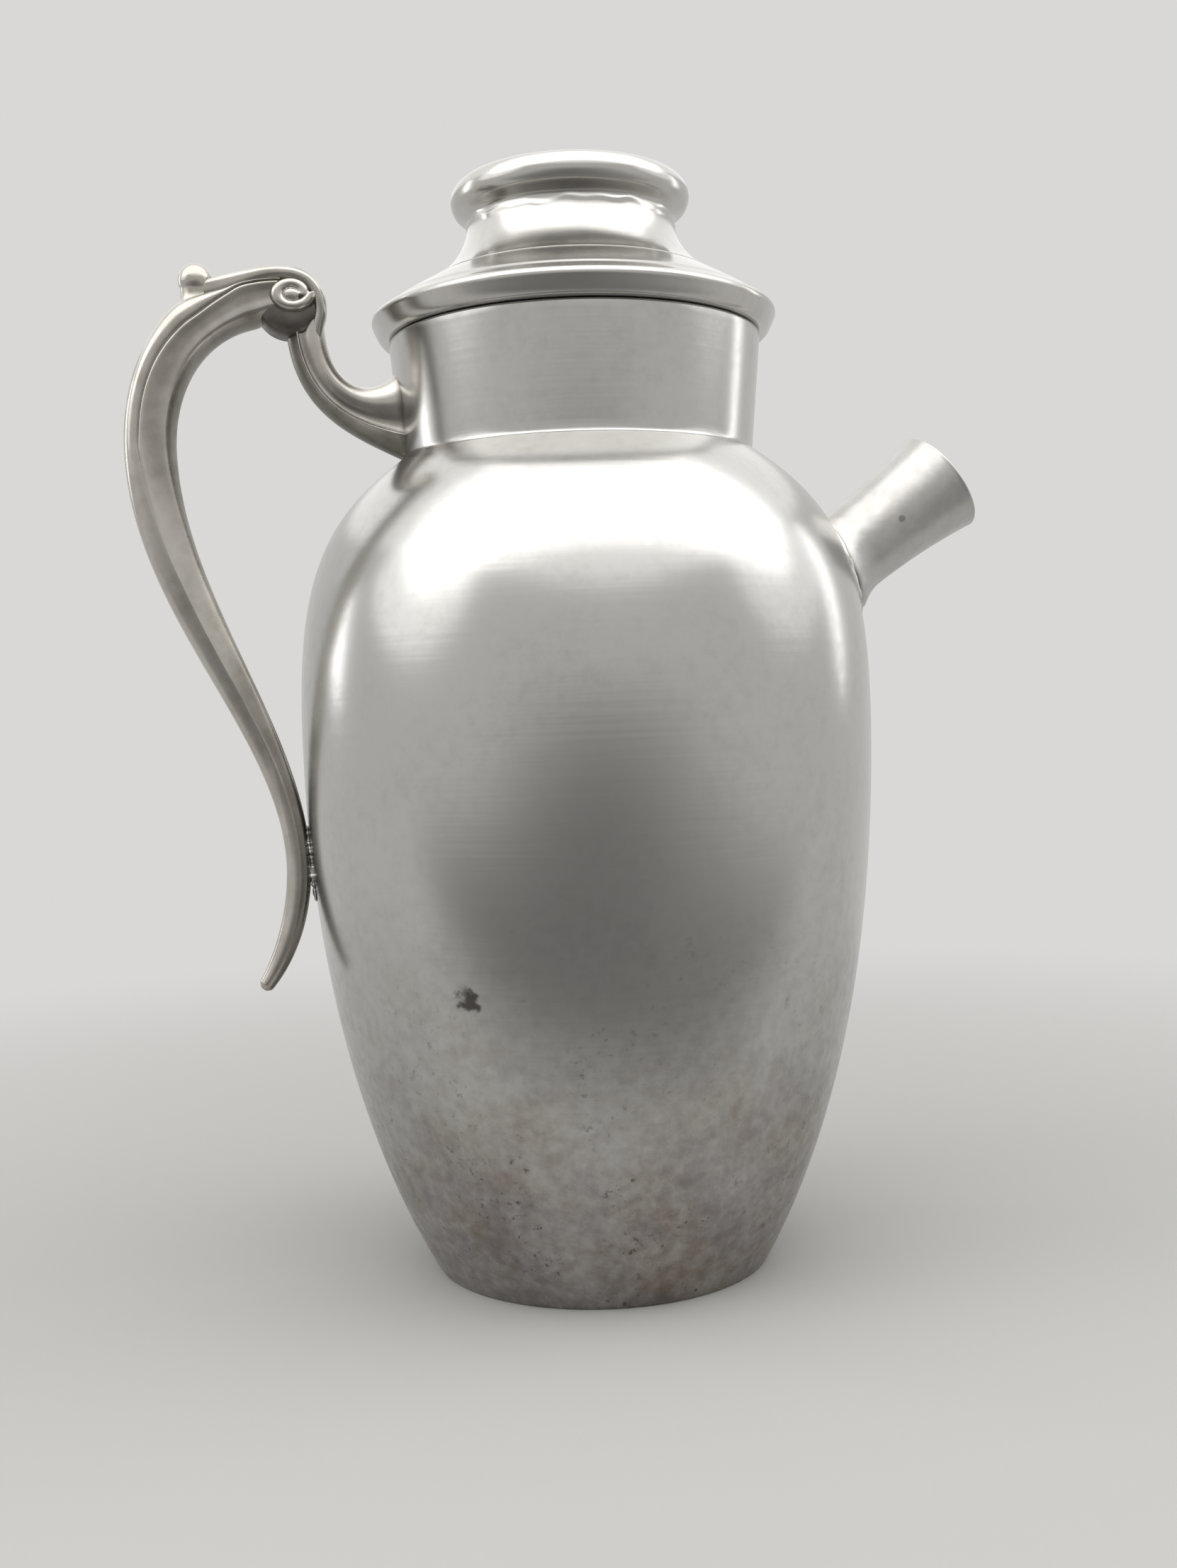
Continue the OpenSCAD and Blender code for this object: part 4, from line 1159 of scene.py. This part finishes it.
# Its ridge: where the outer end lies in degrees, then turn from there and distance from the middle
SCROLL_END = -17
SCROLL_TURN = [-25, 0, 40, 75, 165, 262, 300, 330, 350]
SCROLL_OUT = [4.2, 3.5, 3.05, 2.9, 2.9, 2.9, 2.75, 2.45, 2.2]

# Half width and height of the ridge, and radius and height of the eye
BANK_HALF, BANK_HIGH = 1.45, 1.4
EYE_R, EYE_HIGH = 1.8, 1.3


def scroll_relief(x, z):
    """Height of the scroll above the volute's face at a place in millimetres from the volute's
    middle. The ridge is a rounded bank whose distance from the scroll's middle falls as it winds
    in, and the eye is a dome. The distance from the scroll's middle is given too."""
    wide = (x - SCROLL_MIDDLE[0]) / SCROLL_STRETCH
    high = (z - SCROLL_MIDDLE[1]) * SCROLL_STRETCH
    out = np.hypot(wide, high)
    turn = (SCROLL_END - np.degrees(np.arctan2(high, wide))) % 360
    turns = np.stack([turn - 360, turn, turn + 360])
    ridge = np.interp(turns, SCROLL_TURN, SCROLL_OUT, left=99, right=99)
    away = np.abs(out - ridge).min(0)
    bank = np.clip(1 - (away / BANK_HALF) ** 2, 0, 1) ** 0.55
    eye = np.clip(1 - (out / EYE_R) ** 2, 0, 1) ** 0.45
    return np.maximum(BANK_HIGH * bank, EYE_HIGH * eye), out


def volute_shell(handle):
    """Drum of the volute on a round grid: each face is a flat oval that falls to the edge with the
    fourth power of the distance, and carries the scroll's relief."""
    share = np.sin(np.linspace(0, np.pi / 2, 65)[1:])[:, None]
    turn = around(160)
    x = handle.volute_r * share * np.cos(turn)
    z = handle.volute_r * share * np.sin(turn)
    flat = handle.volute_w / 2 - 0.7 * MM
    relief, out = scroll_relief(x / MM, z / MM)
    relief = relief * smooth((1 - share) / 0.12)
    high = flat * (1 - share ** 4) ** 0.25 + relief * MM
    # Darker where the scroll's relief is low, less near its middle: dark oxide in the scroll's
    # grooves with painted shade in its recesses
    grime_and_shade = np.clip(0.8 - 0.7 * relief, 0, 1) * mix(0.4, 1, smooth((out - 2.2) / 1.5))
    x, z, grime_and_shade = (np.vstack([a, a[-2::-1]]) for a in (x, z, grime_and_shade))
    y = np.vstack([-high, high[-2::-1]])
    eye = flat + scroll_relief(0.0, 0.0)[0][()] * MM
    tips = [[handle.volute[0], side * eye, handle.volute[1]] for side in (-1, 1)]
    rings = np.stack([handle.volute[0] + x, y, handle.volute[1] + z], -1)
    return tube(rings, tips), np.concatenate([grime_and_shade.ravel(), [0, 0]])


def ball_shell(handle):
    """Thumb ball on its neck: a sphere by turn and rise, down to half a radian below its middle,
    whose lower part then narrows and widens again with the square of the way down into the arch."""
    turn = around(56)
    r = handle.ball_r
    lowest = -0.5
    rise = np.linspace(np.pi / 2, lowest, 30)[1:]
    down = np.linspace(0, 1, 16)[1:]
    neck = math.cos(lowest) - 0.16 * down + 0.34 * down ** 2
    width = r * np.concatenate([np.cos(rise), neck])[:, None]
    height = r * np.concatenate([np.sin(rise), math.sin(lowest) - 0.95 * down])[:, None]
    rings = np.stack(np.broadcast_arrays(handle.ball[0] + width * np.cos(turn),
                                         0.92 * width * np.sin(turn), handle.ball[1] + height), -1)
    # Painted shade in the crease round the ball's neck
    grime_and_shade = np.broadcast_to(0.2 * smooth(1 - np.abs(height / r + 0.8) / 0.35), rings.shape[:2])
    tips = [handle.ball[0], 0, handle.ball[1] + r], rings[-1].mean(0)
    return tube(rings, tips), np.concatenate([grime_and_shade.ravel(), [0, 0]])


# Bead of solder at the lower joint: heights of its ends, half thickness and half width
LUG_LOW, LUG_HIGH = 90.5 * MM, 108.5 * MM
LUG_HALF_T, LUG_HALF_W = 1.0 * MM, 2.1 * MM


def lug_solder(body):
    """Solder between the handle's lower end and the body: an oval bead carried up the wall,
    swelling and shrinking as it froze, and rounded off at its ends."""
    share = np.linspace(0, 1, 60)[:, None]
    z = mix(LUG_LOW, LUG_HIGH, share)
    ends = np.sqrt(np.clip(1 - (2 * share - 1) ** 2, 0.02, 1))
    swell = (0.35 + 1.0 * lumps(share * 2 * np.pi, 3, 0.6)) * ends
    turn = around(32)
    uneven = 1 + 0.12 * np.sin(3 * turn + 9 * share)
    x = -(wall_radius(body, z) + 0.35 * MM) + LUG_HALF_T * swell * np.cos(turn) * uneven
    y = LUG_HALF_W * swell * np.sin(turn) * uneven
    return tube(np.stack(np.broadcast_arrays(x, y, z), -1))


# Stage

CAMERA_PLACE = (-79.9 * MM, -393.0 * MM, 133.4 * MM)
CAMERA_PITCH = math.radians(2.54)
CAMERA_ROLL = math.radians(1.85)
CAMERA_LENS = 37.7
SENSOR = 36.0

# Half width of the floor, and the distances over which it fades into the backdrop
FLOOR_HALF = 5.0
FLOOR_FADE = (0.15, 0.55)

# Grey sheet: its line along Y and Z from the jug to behind the camera, and its sides along X
FLAG_LINE = [(-0.1, 0.002), (-0.75, 0.002), (-1.1, 0.05), (-1.15, 0.5)]
FLAG_SIDES = (-1.0, 0.8)
FLAG_ROWS, FLAG_COLUMNS = 25, 19

# Where the sheet melts away, from clear to full: aside from its middle, up, and toward the jug
FLAG_MIDDLE = -0.1
FLAG_ASIDE, FLAG_UP, FLAG_NEAR = (0.95, 0.0), (0.3, 0.0), (-0.06, -0.2)

# Lamps: place, aim, width, height, the stage's value that gives the power, and the share of it
LAMPS = {
    "soft_box_overhead": ((0.0, -0.3, 0.85), (0, -0.3, 0), 3.6, 1.0, "key", 1.0),
    "soft_box_veil": ((0.0, 0.25, 0.87), (0, 0.25, 0), 2.2, 3.5, "veil", 1.0),
    "soft_box_left": ((-1.0, -0.15, 0.62), (0, 0, 0.17), 0.9, 0.66, "left", 1.0),
    "soft_box_right": ((1.0, -0.2, 0.62), (0, 0, 0.17), 0.9, 0.66, "right", 1.0),
    "strip_left": ((-0.76, 0.48, 0.4), (0, 0, 0.2), 0.16, 0.5, "strip", 1.0),
    "strip_right": ((0.87, 0.24, 0.4), (0, 0, 0.2), 0.13, 0.5, "strip", 0.6),
}


def camera_matrix():
    """The camera looks level at the jug's axis, then pitches down and rolls about its own view."""
    flat = Vector((-CAMERA_PLACE[0], -CAMERA_PLACE[1], 0)).normalized()
    ahead = flat * math.cos(CAMERA_PITCH) - Vector((0, 0, math.sin(CAMERA_PITCH)))
    right = Vector((flat.y, -flat.x, 0))
    up = right.cross(ahead)
    c, s = math.cos(CAMERA_ROLL), math.sin(CAMERA_ROLL)
    right, up = right * c - up * s, up * c + right * s
    turn = Matrix((right, up, -ahead)).transposed().to_4x4()
    return Matrix.Translation(CAMERA_PLACE) @ turn


def soft_box(name, place, aim, wide, high, watts):
    """An oval lamp at a place that faces an aim, seen by the metal and not by the camera."""
    lamp = bpy.data.lights.new(name, "AREA")
    lamp.shape = "ELLIPSE"
    lamp.size = wide
    lamp.size_y = high
    lamp.energy = watts
    holder = bpy.data.objects.new(name, lamp)
    holder.location = place
    holder.rotation_euler = (Vector(aim) - Vector(place)).to_track_quat("-Z", "Y").to_euler()
    holder.visible_camera = False
    bpy.context.scene.collection.objects.link(holder)


def stage_piece(name, points, quads, material):
    """One object of the stage."""
    thing = new_object(name, points, quads.tolist(), material)
    return thing


def looked_at(tree):
    """Is 1 where the camera, metal or glass looks, and 0 where matt surfaces gather light: the sum
    of three of Light Path's outputs, held at 1."""
    path = add(tree, "ShaderNodeLightPath")
    seen = add(tree, "ShaderNodeMath", {0: path["Is Camera Ray"], 1: path["Is Glossy Ray"]},
               operation="ADD")[0]
    return add(tree, "ShaderNodeMath", {0: seen, 1: path["Is Transmission Ray"]}, operation="ADD",
               use_clamp=True)[0]


def floor_sheet():
    """Level square round the jug's foot."""
    across = FLOOR_HALF * np.array([-1, 1])
    x, y = np.meshgrid(across, across)
    return np.stack([x, y, np.zeros((2, 2))], -1).reshape(-1, 3), grid_quads(2, 2, False, False)


def floor_paint(stage):
    """Pale matt floor that keeps the jug's shadow near it and fades into the backdrop far away."""
    material = new_material("pale_floor")
    tree = material.node_tree
    place = add(tree, "ShaderNodeTexCoord")["Object"]
    far = add(tree, "ShaderNodeVectorMath", {0: place}, operation="LENGTH")["Value"]
    far = add(tree, "ShaderNodeMapRange",
              {"Value": far, "From Min": FLOOR_FADE[0], "From Max": FLOOR_FADE[1]},
              interpolation_type="SMOOTHSTEP")[0]
    far = add(tree, "ShaderNodeMath", {0: far, 1: looked_at(tree)}, operation="MULTIPLY")[0]
    matt = add(tree, "ShaderNodeBsdfDiffuse", {"Color": opaque(stage.floor)})[0]
    glow = add(tree, "ShaderNodeEmission", {"Color": opaque(stage.backdrop)})[0]
    mixed = add(tree, "ShaderNodeMixShader", {0: far, 1: matt, 2: glow})[0]
    add(tree, "ShaderNodeOutputMaterial", {"Surface": mixed})
    return material


def flag_sheet():
    """Grey sheet in front of the jug: level on the floor, then bent up behind the camera along a
    cubic curve."""
    profile = bezier(FLAG_LINE, FLAG_ROWS)
    x = np.linspace(*FLAG_SIDES, FLAG_COLUMNS)[None, :]
    points = np.stack(np.broadcast_arrays(x, profile[:, :1], profile[:, 1:]), -1).reshape(-1, 3)
    return points, grid_quads(FLAG_ROWS, FLAG_COLUMNS, False, False)


def flag_paint(stage):
    """Even grey that melts away at the sheet's sides, top and near edge, so that the metal mirrors
    no hard edge: the product of three eased ramps."""
    material = new_material("grey_sheet_flag")
    tree = material.node_tree
    place = add(tree, "ShaderNodeTexCoord")["Object"]
    axes = add(tree, "ShaderNodeSeparateXYZ", {0: place})
    aside = add(tree, "ShaderNodeMath", {0: axes["X"], 1: FLAG_MIDDLE}, operation="SUBTRACT")[0]
    aside = add(tree, "ShaderNodeMath", {0: aside}, operation="ABSOLUTE")[0]
    shown = 1.0
    for value, ramp in ((aside, FLAG_ASIDE), (axes["Z"], FLAG_UP), (axes["Y"], FLAG_NEAR)):
        part = add(tree, "ShaderNodeMapRange",
                   {"Value": value, "From Min": ramp[0], "From Max": ramp[1]},
                   interpolation_type="SMOOTHSTEP")[0]
        shown = add(tree, "ShaderNodeMath", {0: shown, 1: part}, operation="MULTIPLY")[0]
    clear = add(tree, "ShaderNodeBsdfTransparent")[0]
    # The sheet glows this grey by itself and only the metal sees it: a painted dark reflection, not
    # a lamp and not a lit surface
    grey = add(tree, "ShaderNodeEmission", {"Color": opaque(stage.flag)})[0]
    mixed = add(tree, "ShaderNodeMixShader", {0: shown, 1: clear, 2: grey})[0]
    add(tree, "ShaderNodeOutputMaterial", {"Surface": mixed})
    return material


def set_world(stage):
    """Even light for matt surfaces, and the pale backdrop where the camera, the metal or glass
    looks."""
    world = bpy.data.worlds.new("pale_studio")
    world.use_nodes = True
    tree = world.node_tree
    tree.nodes.clear()
    even = add(tree, "ShaderNodeBackground", {"Strength": stage.ambient, "Color": (1, 1, 1, 1)})[0]
    pale = add(tree, "ShaderNodeBackground", {"Strength": 1.0, "Color": opaque(stage.backdrop)})[0]
    mixed = add(tree, "ShaderNodeMixShader", {0: looked_at(tree), 1: even, 2: pale})[0]
    add(tree, "ShaderNodeOutputWorld", {"Surface": mixed})
    bpy.context.scene.world = world


def set_camera():
    """The camera at the photograph's angle and field of view."""
    camera = bpy.data.cameras.new("camera")
    camera.lens = CAMERA_LENS
    camera.sensor_width = SENSOR
    camera.clip_start = 0.01
    holder = bpy.data.objects.new("camera", camera)
    holder.matrix_world = camera_matrix()
    bpy.context.scene.collection.objects.link(holder)
    bpy.context.scene.camera = holder


# Operators

class JUG_OT_body(bpy.types.Operator):
    """Build the spun body, its base disc and its neck"""

    bl_idname = "pewter_jug.body"
    bl_label = "Body, Base and Neck"

    def execute(self, context):
        body, spout = context.scene.jug_body, context.scene.jug_spout
        pewter = finish("spun_pewter_body", spun_pewter)
        add_piece("body_wall", body_wall(body, spout), pewter, "jug", ["body_shell"])
        add_piece("base_dish", base_disc(body), pewter, "jug", ["base_disc"])
        add_piece("neck_band", neck_band(body), pewter, "jug", ["neck_collar"])
        return {"FINISHED"}


class JUG_OT_spout(bpy.types.Operator):
    """Build the trumpet spout with its solder and finish the strainer"""

    bl_idname = "pewter_jug.spout"
    bl_label = "Spout and Strainer"

    def execute(self, context):
        body, spout = context.scene.jug_body, context.scene.jug_spout
        pewter = finish("spun_pewter_spout", spun_pewter)
        solder = finish("soft_solder", soft_solder)
        shell, grime_and_shade = spout_trumpet(body, spout)
        add_piece("spout_trumpet", shell, pewter, "jug", ["spout_tube"], grime_and_shade)
        add_piece("spout_solder", spout_solder(body, spout), solder, "jug")
        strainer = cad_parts["strainer_disc"]
        strainer.data.materials.clear()
        strainer.data.materials.append(pewter)
        return {"FINISHED"}


class JUG_OT_handle(bpy.types.Operator):
    """Build the cast scroll handle and the solder at its lower joint"""

    bl_idname = "pewter_jug.handle"
    bl_label = "Scroll Handle"

    def execute(self, context):
        body, handle = context.scene.jug_body, context.scene.jug_handle
        pewter = finish("cast_pewter_rubbed", cast_pewter)
        solder = finish("soft_solder", soft_solder)
        made = [grip_shell(handle), arm_shell(body, handle), rim_shell(), volute_shell(handle),
                ball_shell(handle)]
        shell = joined([shell for shell, _ in made])
        grime_and_shade = np.concatenate([grime_and_shade for _, grime_and_shade in made])
        add_piece("scroll_handle", shell, pewter, "jug", ["handle"], grime_and_shade)
        add_piece("lug_solder", lug_solder(body), solder, "jug")
        return {"FINISHED"}


class JUG_OT_lid(bpy.types.Operator):
    """Build the lid: skirt, knob, top disc and sleeve"""

    bl_idname = "pewter_jug.lid"
    bl_label = "Lid"

    def execute(self, context):
        body, lid = context.scene.jug_body, context.scene.jug_lid
        pewter = finish("spun_pewter_lid", spun_pewter)
        add_piece("lid_skirt", lid_skirt(body, lid), pewter, "lid", ["lid_flange"])
        add_piece("lid_grip", lid_knob(body, lid), pewter, "lid", ["lid_knob"])
        add_piece("lid_crown", lid_crown(lid), pewter, "lid", ["lid_top_disc"])
        add_piece("lid_collar", lid_sleeve(body, lid), pewter, "lid", ["lid_sleeve"])
        return {"FINISHED"}


class JUG_OT_stage(bpy.types.Operator):
    """Build the pale floor, the soft light and the camera"""

    bl_idname = "pewter_jug.stage"
    bl_label = "Stage, Light and Camera"

    def execute(self, context):
        stage = context.scene.jug_stage
        set_world(stage)
        stage_piece("floor", *floor_sheet(), floor_paint(stage))
        for name, (place, aim, wide, high, lamp, share) in LAMPS.items():
            soft_box(name, place, aim, wide, high, share * getattr(stage, lamp))
        # The grey sheet glows, is hidden from the camera, matt surfaces and shadows, and only
        # paints a dark reflection in the metal
        flag = stage_piece("grey_sheet", *flag_sheet(), flag_paint(stage))
        flag.visible_camera = False
        flag.visible_diffuse = False
        flag.visible_shadow = False
        set_camera()
        context.scene.view_settings.view_transform = "Standard"
        return {"FINISHED"}


class JUG_PT_panel(bpy.types.Panel):
    """Lists the jug's builders and values in the sidebar."""

    bl_idname = "JUG_PT_panel"
    bl_label = "Pewter Jug"
    bl_space_type = "VIEW_3D"
    bl_region_type = "UI"
    bl_category = "Pewter Jug"

    def draw(self, context):
        for builder in BUILDERS:
            self.layout.operator(builder.bl_idname)
        for name, group in GROUPS.items():
            values = getattr(context.scene, name)
            column = self.layout.column(heading=group.__doc__)
            for key in group.__annotations__:
                column.prop(values, key)


GROUPS = {"jug_body": JugBody, "jug_spout": JugSpout, "jug_lid": JugLid, "jug_handle": JugHandle,
          "jug_finish": JugFinish, "jug_stage": JugStage}
BUILDERS = (JUG_OT_stage, JUG_OT_body, JUG_OT_spout, JUG_OT_handle, JUG_OT_lid)


def register():
    """Registers the classes and hangs the value groups on the scene."""
    for made in (*GROUPS.values(), *BUILDERS, JUG_PT_panel):
        bpy.utils.register_class(made)
    for name, group in GROUPS.items():
        setattr(bpy.types.Scene, name, PointerProperty(type=group))


def unregister():
    """Takes everything off again."""
    for name in GROUPS:
        delattr(bpy.types.Scene, name)
    for made in (JUG_PT_panel, *reversed(BUILDERS), *reversed(GROUPS.values())):
        bpy.utils.unregister_class(made)


def main():
    """Builds everything in order and writes the two boxes."""
    register()
    bpy.ops.pewter_jug.stage()
    bpy.ops.pewter_jug.body()
    bpy.ops.pewter_jug.spout()
    bpy.ops.pewter_jug.handle()
    bpy.ops.pewter_jug.lid()


if __name__ == "__main__":
    main()
